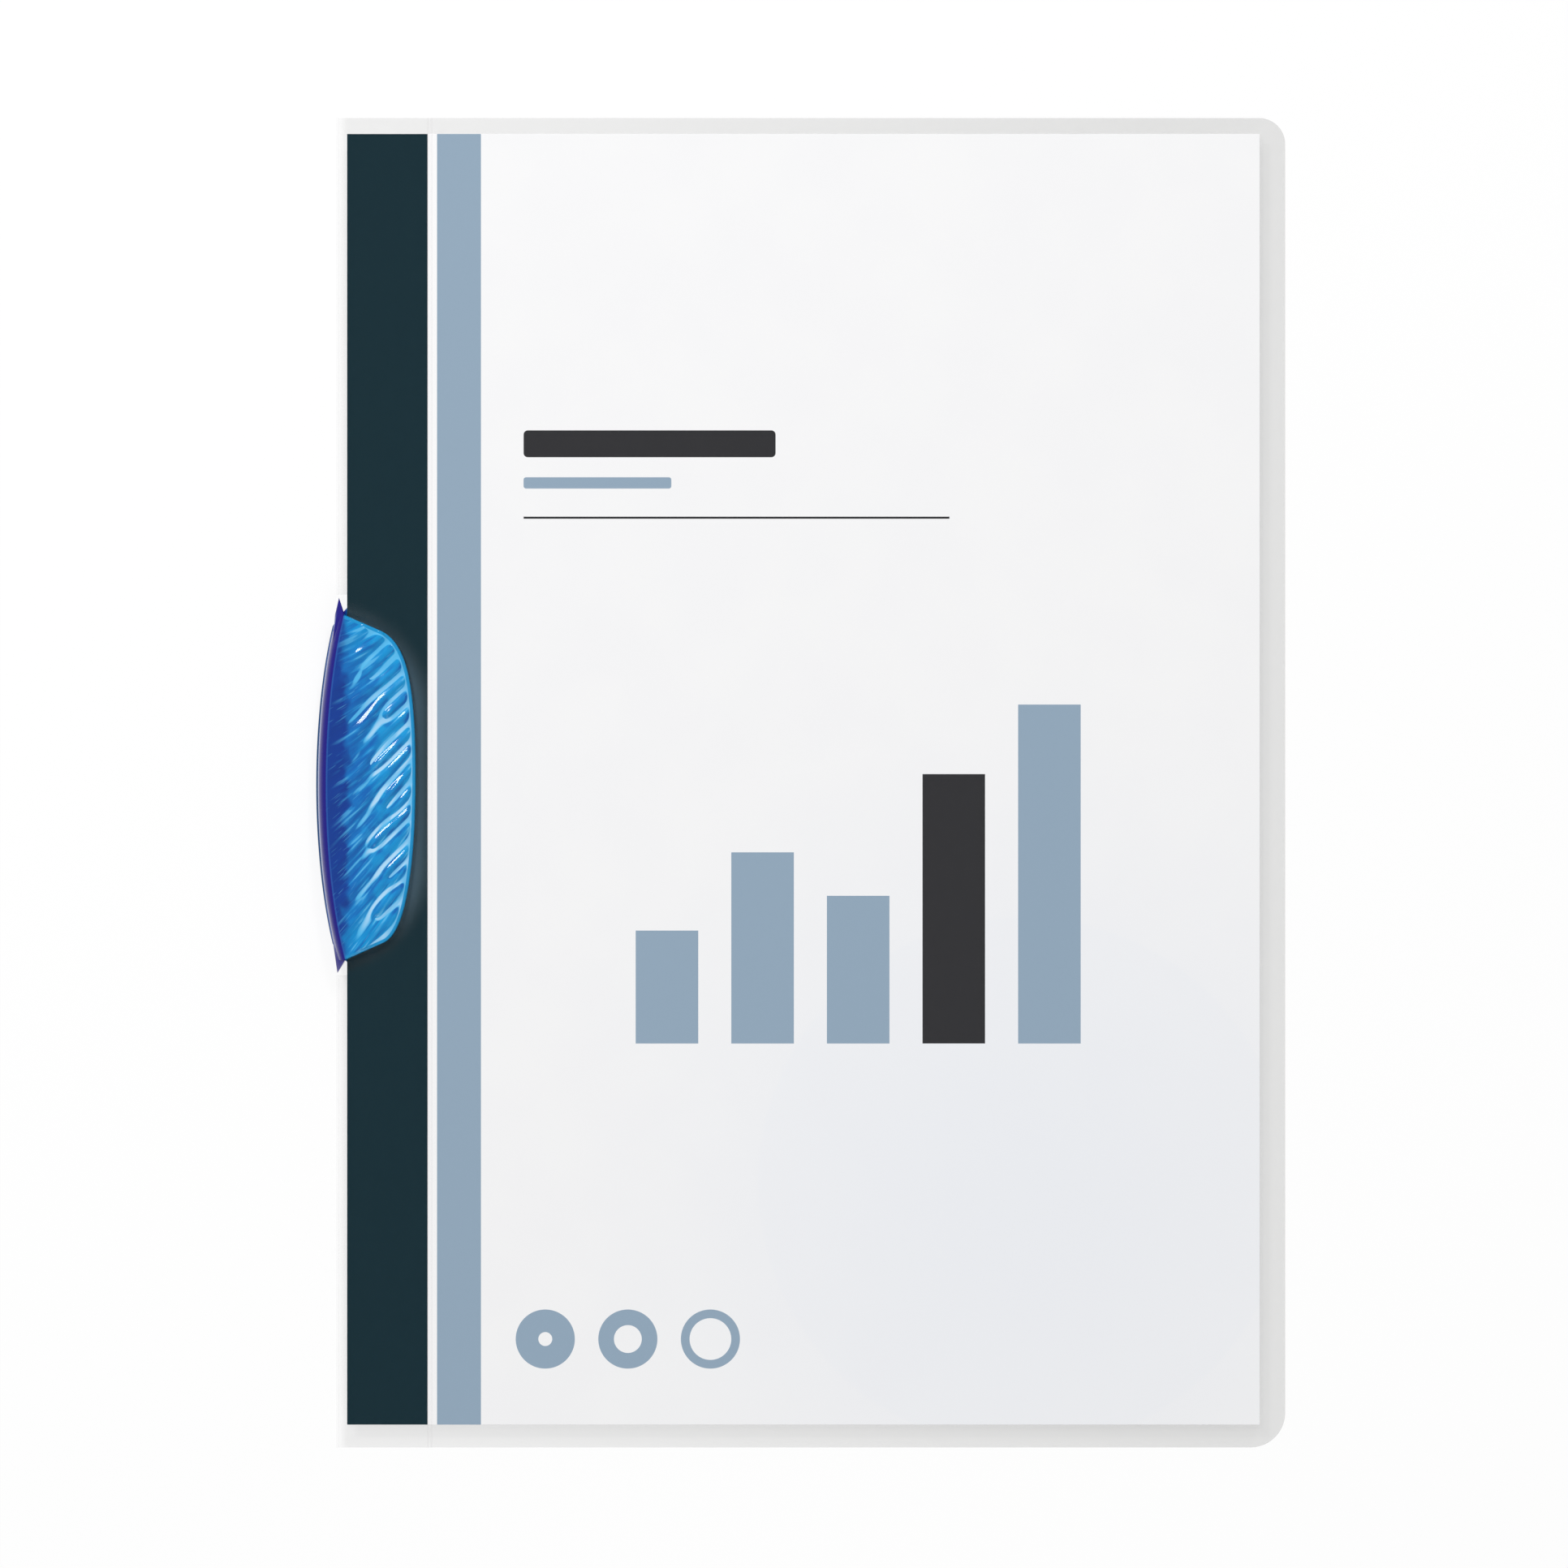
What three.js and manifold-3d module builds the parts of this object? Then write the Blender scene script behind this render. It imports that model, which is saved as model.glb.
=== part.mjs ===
// Clip folder for A4 sheets: a folded film cover, a title sheet and a swinging clip.
// Millimetres. The folder lies on its back: +X runs from the spine to the front edge,
// +Y runs to the top edge and +Z rises through the front cover.
// Shapes are drawn with x = 0 at the spine and y = 0 at half height.
import * as THREE from 'three';
import Module from 'manifold-3d';
import { ConvexGeometry } from 'three/addons/geometries/ConvexGeometry.js';
import { mergeVertices } from 'three/addons/utils/BufferGeometryUtils.js';

// Film cover
const coverWidth = 218.3;
const coverHeight = 306;
const filmThickness = 0.4;
const frontInset = 0.4;
const topCornerRadius = 6;
const bottomCornerRadius = 8;

// Crease that the front panel opens on
const creaseX = 21.45;
const creaseWidth = 1.3;
const creaseThickness = 0.18;
const creaseGap = 0.3;

// Title sheet, A4
const sheetWidth = 210;
const sheetHeight = 297;
const sheetThickness = 0.25;
const sheetLeft = 2.4;
const sheetCentreY = 0.8;

// Clearance between faces that rest on each other
const seatGap = 0.3;

// Back plate of the clip: a tall oval, cut shorter by a wider one
const plateCentreX = 11.8;
const plateCentreY = -0.5;
const plateHalfWidth = 16.6;
const plateHalfHeight = 57.5;
const plateEndHalfWidth = 21.6;
const plateEndHalfHeight = 45.4;
const plateThickness = 1.4;
const plateRound = 0.35;

// Jaw of the clip: its free edge, from the top corner to the bottom corner
const jawTopCorner = new THREE.Vector2(10.1, 35);
const jawTopBend = new THREE.Vector2(14.25, 33.2);
const jawShoulder = new THREE.Vector2(16.1, 26.6);
const jawReach = 18.2;
const jawWaistY = 2;
const jawUpperBow = 19.1;
const jawLowerBow = -17.2;
const jawHip = new THREE.Vector2(15.85, -27.5);
const jawBottomBend = new THREE.Vector2(14.04, -35.4);
const jawBottomCorner = new THREE.Vector2(10.8, -36.8);
const jawTopY = 38.7;
const jawBottomY = -40.8;
const jawRimThickness = 1.25;
const jawEndRise = 0.75;
const jawCrownRise = 1.7;
const jawArchRise = 0.9;

// Ripples moulded into the jaw: they lean and curl, and fork at a few points
const rippleHeight = 0.55;
const ripplePitch = 6.4;
const rippleLean = 0.72;
const rippleLeanFall = 0.011;
const rippleCurl = 0.022;
const rippleForks = [[7.5, 24], [11, 15], [8, 4], [11.5, -6], [8, -15], [12, -22], [9, -31]];
const rippleForkSoftness = 0.5;
const rippleRim = 1.1;

// Web between plate and jaw
const webLip = 0.35;
const webWall = 1.35;
const webShoulder = 2.3;
const webShoulderHeight = 55.5;
const webTopEnd = 34.8;

// Pointed ends of the web: their section is in shares of the way across and up
const topTip = new THREE.Vector2(0.6, 42.6);
const bottomTip = new THREE.Vector2(0.15, -43.8);
const tipSection = [[0, 0], [0.12, 0.5], [1, 0.97], [1.1, 0.6], [0.85, 0]];
const tipApexRise = 0.4;
const tipRunIn = 0.08;

// Space inside the clip: its haunch is in steps inwards and shares of the height
const cavityHaunch = [[0.2, 0.45], [0.5, 0.8]];
const cavityRoofInset = 1.5;
const cavityPastEnds = 8;
const cavityPastJaw = 5;

// Pivot stud of the clip and its hole in the back cover
const pivotX = 6;
const pivotY = 37;
const studRadius = 2;
const studClearance = 0.3;
const headRadius = 3.2;
const headThickness = 0.4;

// Notch in the spine fold, and the seat pressed into the front strip
const notchDepth = 2.5;
const notchTopClearance = 0.7;
const notchBottomClearance = 0.5;
const jawSeatMargin = 0.7;
const jawSeatWall = 1.4;
const jawSeatDepth = 0.35;

// Levels, from the floor up
const backBottom = plateThickness + seatGap;
const backTop = backBottom + filmThickness;
const headBottom = backTop + seatGap;
const headTop = headBottom + headThickness;
const sheetBottom = headTop + seatGap;
const sheetTop = sheetBottom + sheetThickness;
const seatTop = sheetTop + seatGap + filmThickness;
const frontTop = seatTop + jawSeatDepth;
const frontBottom = frontTop - filmThickness;
const jawTipBottom = seatTop + seatGap;
const jawTipTop = jawTipBottom + jawRimThickness;
const jawEndTop = jawTipTop + jawEndRise;
const jawCrownTop = jawTipTop + jawCrownRise;
const tipBottom = frontTop + 1.5 * seatGap;

// Fineness of the curved surfaces
const jawRows = 108;
const jawColumns = 28;
const webColumns = 5;
const cavityRows = 24;
const cavityColumns = 4;
const roundSteps = 40;

const wasm = await Module();
wasm.setup();

const clamp01 = (value) => Math.min(1, Math.max(0, value));
const mix = (a, b, t) => a + (b - a) * t;
const smooth = (t) => clamp01(t) * clamp01(t) * (3 - 2 * clamp01(t));

function toSolid(geometry) {
  const bare = geometry.index ? geometry.toNonIndexed() : geometry.clone();
  bare.deleteAttribute('normal');
  bare.deleteAttribute('uv');
  const merged = mergeVertices(bare, 1e-4);
  return new wasm.Manifold(new wasm.Mesh({
    numProp: 3,
    vertProperties: new Float32Array(merged.attributes.position.array),
    triVerts: new Uint32Array(merged.index.array),
  }));
}

function toGeometry(solid) {
  const mesh = solid.getMesh();
  const geometry = new THREE.BufferGeometry();
  geometry.setAttribute('position', new THREE.BufferAttribute(mesh.vertProperties, 3));
  geometry.setIndex(new THREE.BufferAttribute(mesh.triVerts, 1));
  geometry.computeVertexNormals();
  return geometry;
}

function prism(shape, low, high) {
  const geometry = new THREE.ExtrudeGeometry(shape, {
    depth: high - low,
    bevelEnabled: false,
    curveSegments: roundSteps,
  });
  geometry.translate(0, 0, low);
  return toSolid(geometry);
}

function block(x0, x1, y0, y1, z0, z1) {
  const geometry = new THREE.BoxGeometry(x1 - x0, y1 - y0, z1 - z0);
  geometry.translate((x0 + x1) / 2, (y0 + y1) / 2, (z0 + z1) / 2);
  return toSolid(geometry);
}

function post(x, y, radius, z0, z1) {
  const geometry = new THREE.CylinderGeometry(radius, radius, z1 - z0, roundSteps);
  geometry.rotateX(Math.PI / 2);
  geometry.translate(x, y, (z0 + z1) / 2);
  return toSolid(geometry);
}

// A solid between a grid of points and the flat floor under it.
function hillSolid(grid, floor) {
  const rows = grid.length;
  const columns = grid[0].length;
  const positions = [];
  const faces = [];
  for (const row of grid) {
    for (const point of row) positions.push(point.x, point.y, point.z);
  }
  for (const row of grid) {
    for (const point of row) positions.push(point.x, point.y, floor);
  }
  const top = (i, j) => i * columns + j;
  const under = (i, j) => rows * columns + top(i, j);
  const quad = (a, b, c, d) => faces.push(a, b, d, b, c, d);
  for (let i = 0; i + 1 < rows; i += 1) {
    for (let j = 0; j + 1 < columns; j += 1) {
      quad(top(i, j), top(i + 1, j), top(i + 1, j + 1), top(i, j + 1));
      quad(under(i, j), under(i, j + 1), under(i + 1, j + 1), under(i + 1, j));
    }
    quad(top(i, 0), under(i, 0), under(i + 1, 0), top(i + 1, 0));
    const last = columns - 1;
    quad(top(i, last), top(i + 1, last), under(i + 1, last), under(i, last));
  }
  for (let j = 0; j + 1 < columns; j += 1) {
    quad(top(0, j), top(0, j + 1), under(0, j + 1), under(0, j));
    const last = rows - 1;
    quad(top(last, j), under(last, j), under(last, j + 1), top(last, j + 1));
  }
  const geometry = new THREE.BufferGeometry();
  geometry.setAttribute('position', new THREE.Float32BufferAttribute(positions, 3));
  geometry.setIndex(faces);
  return toSolid(geometry);
}

// Outline of a cover panel seen from above, with its two front corners rounded.
function coverOutline(x0, x1) {
  const half = coverHeight / 2;
  const shape = new THREE.Shape();
  shape.moveTo(x0, -half);
  shape.lineTo(x1 - bottomCornerRadius, -half);
  shape.absarc(x1 - bottomCornerRadius, bottomCornerRadius - half, bottomCornerRadius, -Math.PI / 2, 0);
  shape.lineTo(x1, half - topCornerRadius);
  shape.absarc(x1 - topCornerRadius, half - topCornerRadius, topCornerRadius, 0, Math.PI / 2);
  shape.lineTo(x0, half);
  return shape;
}

// A film section drawn in x and z, run along the whole height of the cover.
function filmRun(section) {
  const geometry = new THREE.ExtrudeGeometry(section, {
    depth: coverHeight,
    bevelEnabled: false,
    curveSegments: 12,
  });
  geometry.rotateX(Math.PI / 2);
  geometry.translate(0, coverHeight / 2, 0);
  return toSolid(geometry);
}

// Edge of an oval that shares the plate's centre, on its spine side.
function ovalX(y, halfWidth, halfHeight) {
  const rise = (y - plateCentreY) / halfHeight;
  return plateCentreX - halfWidth * Math.sqrt(1 - rise * rise);
}

const plateEdgeX = (y) => ovalX(y, plateHalfWidth, plateHalfHeight);
const shoulderX = (y) => ovalX(y, plateHalfWidth - webShoulder, webShoulderHeight);

function jawFreeEdge() {
  const edge = new THREE.Path();
  edge.moveTo(jawTopCorner.x, jawTopCorner.y);
  edge.quadraticCurveTo(jawTopBend.x, jawTopBend.y, jawShoulder.x, jawShoulder.y);
  edge.quadraticCurveTo(jawReach, jawUpperBow, jawReach, jawWaistY);
  edge.quadraticCurveTo(jawReach, jawLowerBow, jawHip.x, jawHip.y);
  edge.quadraticCurveTo(jawBottomBend.x, jawBottomBend.y, jawBottomCorner.x, jawBottomCorner.y);
  return edge;
}

const freeEdge = jawFreeEdge();

// Ripples like folds in cloth. The phase grows by one turn around each fork, which
// starts a new fold on its outer side.
function ripple(x, y) {
  const lean = rippleLean - rippleLeanFall * y;
  const run = y - lean * x - rippleCurl * x * x;
  const along = x + 0.9 * y;
  let phase = (2 * Math.PI * run) / ripplePitch;
  phase += 0.5 * Math.sin(0.13 * along + 0.9);
  phase += 0.4 * Math.sin(0.31 * run + 0.1 * along);
  let calm = 1;
  for (const [forkX, forkY] of rippleForks) {
    const away = (x - forkX) ** 2 + (y - forkY) ** 2;
    phase += Math.atan2(y - forkY, x - forkX);
    calm *= away / (away + rippleForkSoftness);
  }
  const swell = 0.78 + 0.22 * Math.sin(0.47 * run + 0.21 * along);
  const reach = 0.3 + 0.7 * clamp01((x + 4) / 9);
  return rippleHeight * reach * swell * calm * (0.5 + 0.5 * Math.cos(phase)) ** 1.3;
}

// A point of the jaw's front: u runs from web to free edge, v from top to bottom.
function jawPoint(u, v) {
  const y0 = mix(jawTopY, jawBottomY, v);
  const outer = freeEdge.getPointAt(v);
  const x = mix(shoulderX(y0), outer.x, u);
  const y = mix(y0, outer.y, u);
  const ridge = mix(jawEndTop, jawCrownTop, Math.sin(Math.PI * v) ** 0.7);
  const base = jawTipTop + (ridge - jawTipTop) * (1 - u ** 1.8);
  const width = outer.x - shoulderX(y0);
  const length = jawTopY - jawBottomY;
  const inFromRim = Math.min((1 - u) * width, v * length, (1 - v) * length);
  const fade = smooth(inFromRim / rippleRim) * smooth((u * width) / rippleRim);
  return new THREE.Vector3(x, y, base + fade * ripple(x, y));
}

// A point of the web's outer face: s runs from the plate to the jaw's root.
function webPoint(s, v) {
  const root = jawPoint(0, v);
  const foot = plateEdgeX(root.y) + webLip;
  const footZ = plateThickness / 2;
  const x = mix(foot, root.x, s * s);
  const z = mix(footZ, root.z, 1 - (1 - s) ** 1.6);
  return new THREE.Vector3(x, root.y, z);
}

function clipShell() {
  const grid = [];
  for (let i = 0; i <= jawRows; i += 1) {
    const row = [];
    for (let j = 0; j < webColumns; j += 1) row.push(webPoint(j / webColumns, i / jawRows));
    for (let j = 0; j <= jawColumns; j += 1) row.push(jawPoint(j / jawColumns, i / jawRows));
    grid.push(row);
  }
  return hillSolid(grid, plateThickness / 4);
}

// The space inside the clip, where the film and the sheets go.
function clipCavity() {
  const grid = [];
  const roof = jawTipBottom + jawArchRise;
  for (let i = 0; i <= cavityRows; i += 1) {
    const y = mix(jawTopY + cavityPastEnds, jawBottomY - cavityPastEnds, i / cavityRows);
    const wall = plateEdgeX(y) + webLip + webWall;
    const row = [new THREE.Vector3(wall, y, plateThickness / 2)];
    for (const [inset, rise] of cavityHaunch) {
      row.push(new THREE.Vector3(wall + inset, y, mix(plateThickness, roof, rise)));
    }
    for (let j = 0; j <= cavityColumns; j += 1) {
      const step = j / cavityColumns;
      const x = mix(wall + cavityRoofInset, jawReach, step);
      row.push(new THREE.Vector3(x, y, mix(jawTipBottom, roof, (1 - step) ** 1.2)));
    }
    row.push(new THREE.Vector3(jawReach + cavityPastJaw, y, jawTipBottom));
    grid.push(row);
  }
  return hillSolid(grid, -1);
}

// A pointed end of the web. It leaves the web's face at a start point, is widest at the
// jaw's corner and runs out to its apex.
function webTip(v, start, apex, bottom) {
  const root = jawPoint(0, v);
  const edge = plateEdgeX(root.y);
  const points = tipSection.map(([across, rise]) => new THREE.Vector3(
    mix(edge, root.x, across),
    root.y,
    mix(bottom, root.z, rise),
  ));
  points.push(start, new THREE.Vector3(apex.x, apex.y, mix(bottom, root.z, tipApexRise)));
  return toSolid(new ConvexGeometry(points));
}

// One oval of the back plate, with rounded edges.
function plateOval(halfWidth, halfHeight) {
  const outline = new THREE.Shape();
  const radiusX = halfWidth - plateRound;
  const radiusY = halfHeight - plateRound;
  outline.absellipse(plateCentreX, plateCentreY, radiusX, radiusY, 0, 2 * Math.PI);
  const geometry = new THREE.ExtrudeGeometry(outline, {
    depth: plateThickness - 2 * plateRound,
    bevelThickness: plateRound,
    bevelSize: plateRound,
    bevelSegments: 2,
    curveSegments: 2 * roundSteps,
  });
  geometry.translate(0, 0, plateRound);
  return toSolid(geometry);
}

function makeClip() {
  const pastEnd = 20;
  const slot = block(
    plateEdgeX(plateCentreY) - 1, studRadius + 1,
    webTopEnd, webTopEnd + pastEnd,
    -1, tipBottom,
  );
  const plate = plateOval(plateHalfWidth, plateHalfHeight)
    .intersect(plateOval(plateEndHalfWidth, plateEndHalfHeight));
  const stud = post(pivotX, pivotY, studRadius, plateThickness / 2, headTop);
  const head = post(pivotX, pivotY, headRadius, headBottom, headTop);
  return clipShell()
    .subtract(clipCavity())
    .subtract(slot)
    .add(webTip(0, webPoint(0.6, tipRunIn), topTip, tipBottom))
    .add(webTip(1, webPoint(0.1, 1 - tipRunIn), bottomTip, plateThickness / 2))
    .add(plate)
    .add(stud)
    .add(head);
}

// The jaw's outline, grown by a margin, as rings that a pressed seat is made from.
function jawRing(margin, z) {
  const count = 28;
  const centre = new THREE.Vector2(jawReach / 2, (jawTopY + jawBottomY) / 2);
  const outline = [];
  for (let i = 0; i <= count; i += 1) outline.push(freeEdge.getPointAt(i / count));
  outline.push(new THREE.Vector2(shoulderX(jawBottomY), jawBottomY));
  outline.push(new THREE.Vector2(shoulderX(jawBottomY) - jawReach, centre.y));
  outline.push(new THREE.Vector2(shoulderX(jawTopY), jawTopY));
  return outline.map((point, index) => {
    const before = outline[(index + outline.length - 1) % outline.length];
    const after = outline[(index + 1) % outline.length];
    const along = after.clone().sub(before).normalize();
    return new THREE.Vector3(point.x - along.y * margin, point.y + along.x * margin, z);
  });
}

// A solid through closed rings that lie one above the other, lowest first.
function ringSolid(rings) {
  const count = rings[0].length;
  const positions = rings.flat().flatMap((point) => [point.x, point.y, point.z]);
  const faces = [];
  for (let r = 0; r + 1 < rings.length; r += 1) {
    for (let i = 0; i < count; i += 1) {
      const a = r * count + i;
      const b = r * count + ((i + 1) % count);
      faces.push(a, b, b + count, a, b + count, a + count);
    }
  }
  const flat = rings[0].map((point) => new THREE.Vector2(point.x, point.y));
  const caps = THREE.ShapeUtils.triangulateShape(flat, []);
  const roof = (rings.length - 1) * count;
  for (const [a, b, c] of caps) {
    faces.push(a, c, b);
    faces.push(roof + a, roof + b, roof + c);
  }
  const geometry = new THREE.BufferGeometry();
  geometry.setAttribute('position', new THREE.Float32BufferAttribute(positions, 3));
  geometry.setIndex(faces);
  return toSolid(geometry);
}

// The seat's sloped pan, from its floor up to a level above the film.
function seatPan(floorZ, margin) {
  const rim = floorZ + jawSeatDepth;
  const wide = margin + jawSeatWall;
  return ringSolid([
    jawRing(margin, floorZ),
    jawRing(margin + jawSeatWall / 2, floorZ + jawSeatDepth / 2),
    jawRing(wide, rim),
    jawRing(wide, rim + 0.01),
  ].map((ring) => ring.reverse()));
}

// Back, spine fold and front strip as one section.
function foldedSection() {
  const outer = (frontTop - backBottom) / 2;
  const inner = outer - filmThickness;
  const middle = backBottom + outer;
  const stripEnd = creaseX - creaseGap / 2;
  const creaseStart = creaseX - creaseWidth / 2;
  const section = new THREE.Shape();
  section.moveTo(coverWidth, backBottom);
  section.lineTo(coverWidth, backTop);
  section.lineTo(outer, backTop);
  section.absarc(outer, middle, inner, -Math.PI / 2, Math.PI / 2, true);
  section.lineTo(creaseStart - creaseThickness, frontBottom);
  section.lineTo(creaseStart, frontTop - creaseThickness);
  section.lineTo(stripEnd, frontTop - creaseThickness);
  section.lineTo(stripEnd, frontTop);
  section.lineTo(outer, frontTop);
  section.absarc(outer, middle, outer, Math.PI / 2, (3 * Math.PI) / 2, false);
  return section;
}

function makeFolderCover() {
  const notchLow = bottomTip.y - notchBottomClearance;
  const notchHigh = topTip.y + notchTopClearance;
  const notch = block(-1, notchDepth, notchLow, notchHigh, 0, frontTop + 1);
  const hole = post(pivotX, pivotY, studRadius + studClearance, 0, backTop + seatGap);
  const strip = block(notchDepth, creaseX - creaseWidth / 2, notchLow, notchHigh, frontBottom - 1, frontTop);
  const bulge = seatPan(seatTop - filmThickness, jawSeatMargin).intersect(strip);
  return filmRun(foldedSection())
    .intersect(prism(coverOutline(-1, coverWidth), 0, frontTop + 1))
    .subtract(notch)
    .add(bulge)
    .subtract(seatPan(seatTop, jawSeatMargin))
    .subtract(hole);
}

function makeFrontCover() {
  const right = coverWidth - frontInset;
  const panelStart = creaseX + creaseGap / 2;
  const creaseEnd = creaseX + creaseWidth / 2;
  const section = new THREE.Shape();
  section.moveTo(right, frontTop);
  section.lineTo(panelStart, frontTop);
  section.lineTo(panelStart, frontTop - creaseThickness);
  section.lineTo(creaseEnd, frontTop - creaseThickness);
  section.lineTo(creaseEnd + creaseThickness, frontBottom);
  section.lineTo(right, frontBottom);
  return filmRun(section).intersect(prism(coverOutline(0, right), 0, frontTop + 1));
}

function makeTitleSheet() {
  const low = sheetCentreY - sheetHeight / 2;
  const high = sheetCentreY + sheetHeight / 2;
  return block(sheetLeft, sheetLeft + sheetWidth, low, high, sheetBottom, sheetTop);
}

function part(name, solid, color, roughness, opacity) {
  const material = new THREE.MeshStandardMaterial({
    color,
    roughness,
    metalness: 0,
    opacity,
    transparent: opacity < 1,
  });
  const mesh = new THREE.Mesh(toGeometry(solid), material);
  mesh.name = name;
  return mesh;
}

// The origin is under the middle of the whole folder, clip included.
const folder = new THREE.Group();
folder.position.x = -(coverWidth + plateCentreX - plateHalfWidth) / 2;
folder.add(part('folder_cover', makeFolderCover(), 0xe6e5e2, 0.35, 0.35));
folder.add(part('front_cover', makeFrontCover(), 0xe6e5e2, 0.35, 0.35));
folder.add(part('title_sheet', makeTitleSheet(), 0xf4f4f5, 0.7, 1));
folder.add(part('clip', makeClip(), 0x1e6fc0, 0.15, 1));

const model = new THREE.Group();
model.add(folder);

export default model;
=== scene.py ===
"""Dresses a clip folder: clear film, a printed title sheet and a rippled blue clip, on a pale floor.

Sizes are in metres, in the folder's own frame: +X from the spine to the front edge,
+Y to the top edge and +Z up through the front cover, with the folder lying on its back.
"""

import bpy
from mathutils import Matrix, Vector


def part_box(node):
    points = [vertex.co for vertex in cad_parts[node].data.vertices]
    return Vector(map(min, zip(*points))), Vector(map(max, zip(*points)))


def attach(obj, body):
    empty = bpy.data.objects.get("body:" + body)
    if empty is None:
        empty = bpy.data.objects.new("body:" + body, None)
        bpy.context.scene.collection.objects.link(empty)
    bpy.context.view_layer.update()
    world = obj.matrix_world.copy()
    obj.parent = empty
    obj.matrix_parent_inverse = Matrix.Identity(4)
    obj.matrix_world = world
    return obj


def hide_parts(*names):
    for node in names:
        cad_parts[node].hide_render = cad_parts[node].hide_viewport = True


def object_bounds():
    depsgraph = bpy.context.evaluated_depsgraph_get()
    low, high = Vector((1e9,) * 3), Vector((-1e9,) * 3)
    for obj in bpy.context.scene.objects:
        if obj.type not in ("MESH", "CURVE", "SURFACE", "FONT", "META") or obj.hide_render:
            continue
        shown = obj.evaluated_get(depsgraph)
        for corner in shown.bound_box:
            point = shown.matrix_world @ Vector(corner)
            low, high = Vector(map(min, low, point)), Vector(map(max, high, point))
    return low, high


bl_info = {
    "name": "Clip folder",
    "version": (1, 0, 0),
    "blender": (4, 5, 0),
    "location": "View3D > Sidebar > Folder",
    "description": "Makes the clip, the title sheet and the film finish of a clip folder",
    "category": "Object",
}

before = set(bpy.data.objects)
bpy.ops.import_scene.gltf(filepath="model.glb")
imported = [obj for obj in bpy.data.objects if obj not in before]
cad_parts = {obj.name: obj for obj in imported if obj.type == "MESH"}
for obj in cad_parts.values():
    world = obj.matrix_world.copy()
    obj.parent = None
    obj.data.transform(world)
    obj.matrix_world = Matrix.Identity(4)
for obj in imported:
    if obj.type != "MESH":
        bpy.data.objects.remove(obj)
CAD_BOX = [list(corner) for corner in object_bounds()]

import math

import bpy
from bpy.props import FloatProperty, FloatVectorProperty, IntProperty, PointerProperty
from mathutils import Vector
from mathutils.kdtree import KDTree

MM = 0.001
COVER_LOW, COVER_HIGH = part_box("folder_cover")
FRONT_LOW, FRONT_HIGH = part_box("front_cover")
SHEET_LOW, SHEET_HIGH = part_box("title_sheet")
CLIP_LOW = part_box("clip")[0]
SPINE_X = COVER_LOW.x
FLOOR_Z = CAD_BOX[0][2]


def clamp01(value):
    return min(1.0, max(0.0, value))


def mix(a, b, t):
    return a + (b - a) * t


def smooth(t):
    t = clamp01(t)
    return t * t * (3 - 2 * t)


def length(name, default, description, low=0.0):
    """A size that a user can change, in metres."""
    return FloatProperty(
        name=name, description=description, default=default, min=low,
        unit="LENGTH", subtype="DISTANCE", precision=5,
    )


def colour(name, default, description):
    """A linear colour that a user can change."""
    return FloatVectorProperty(
        name=name, description=description, default=default, min=0.0, max=1.0, size=3, subtype="COLOR"
    )


def share(name, default, description):
    """A number from 0 to 1 that a user can change."""
    return FloatProperty(
        name=name, description=description, default=default, min=0.0, max=1.0, subtype="FACTOR"
    )


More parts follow.
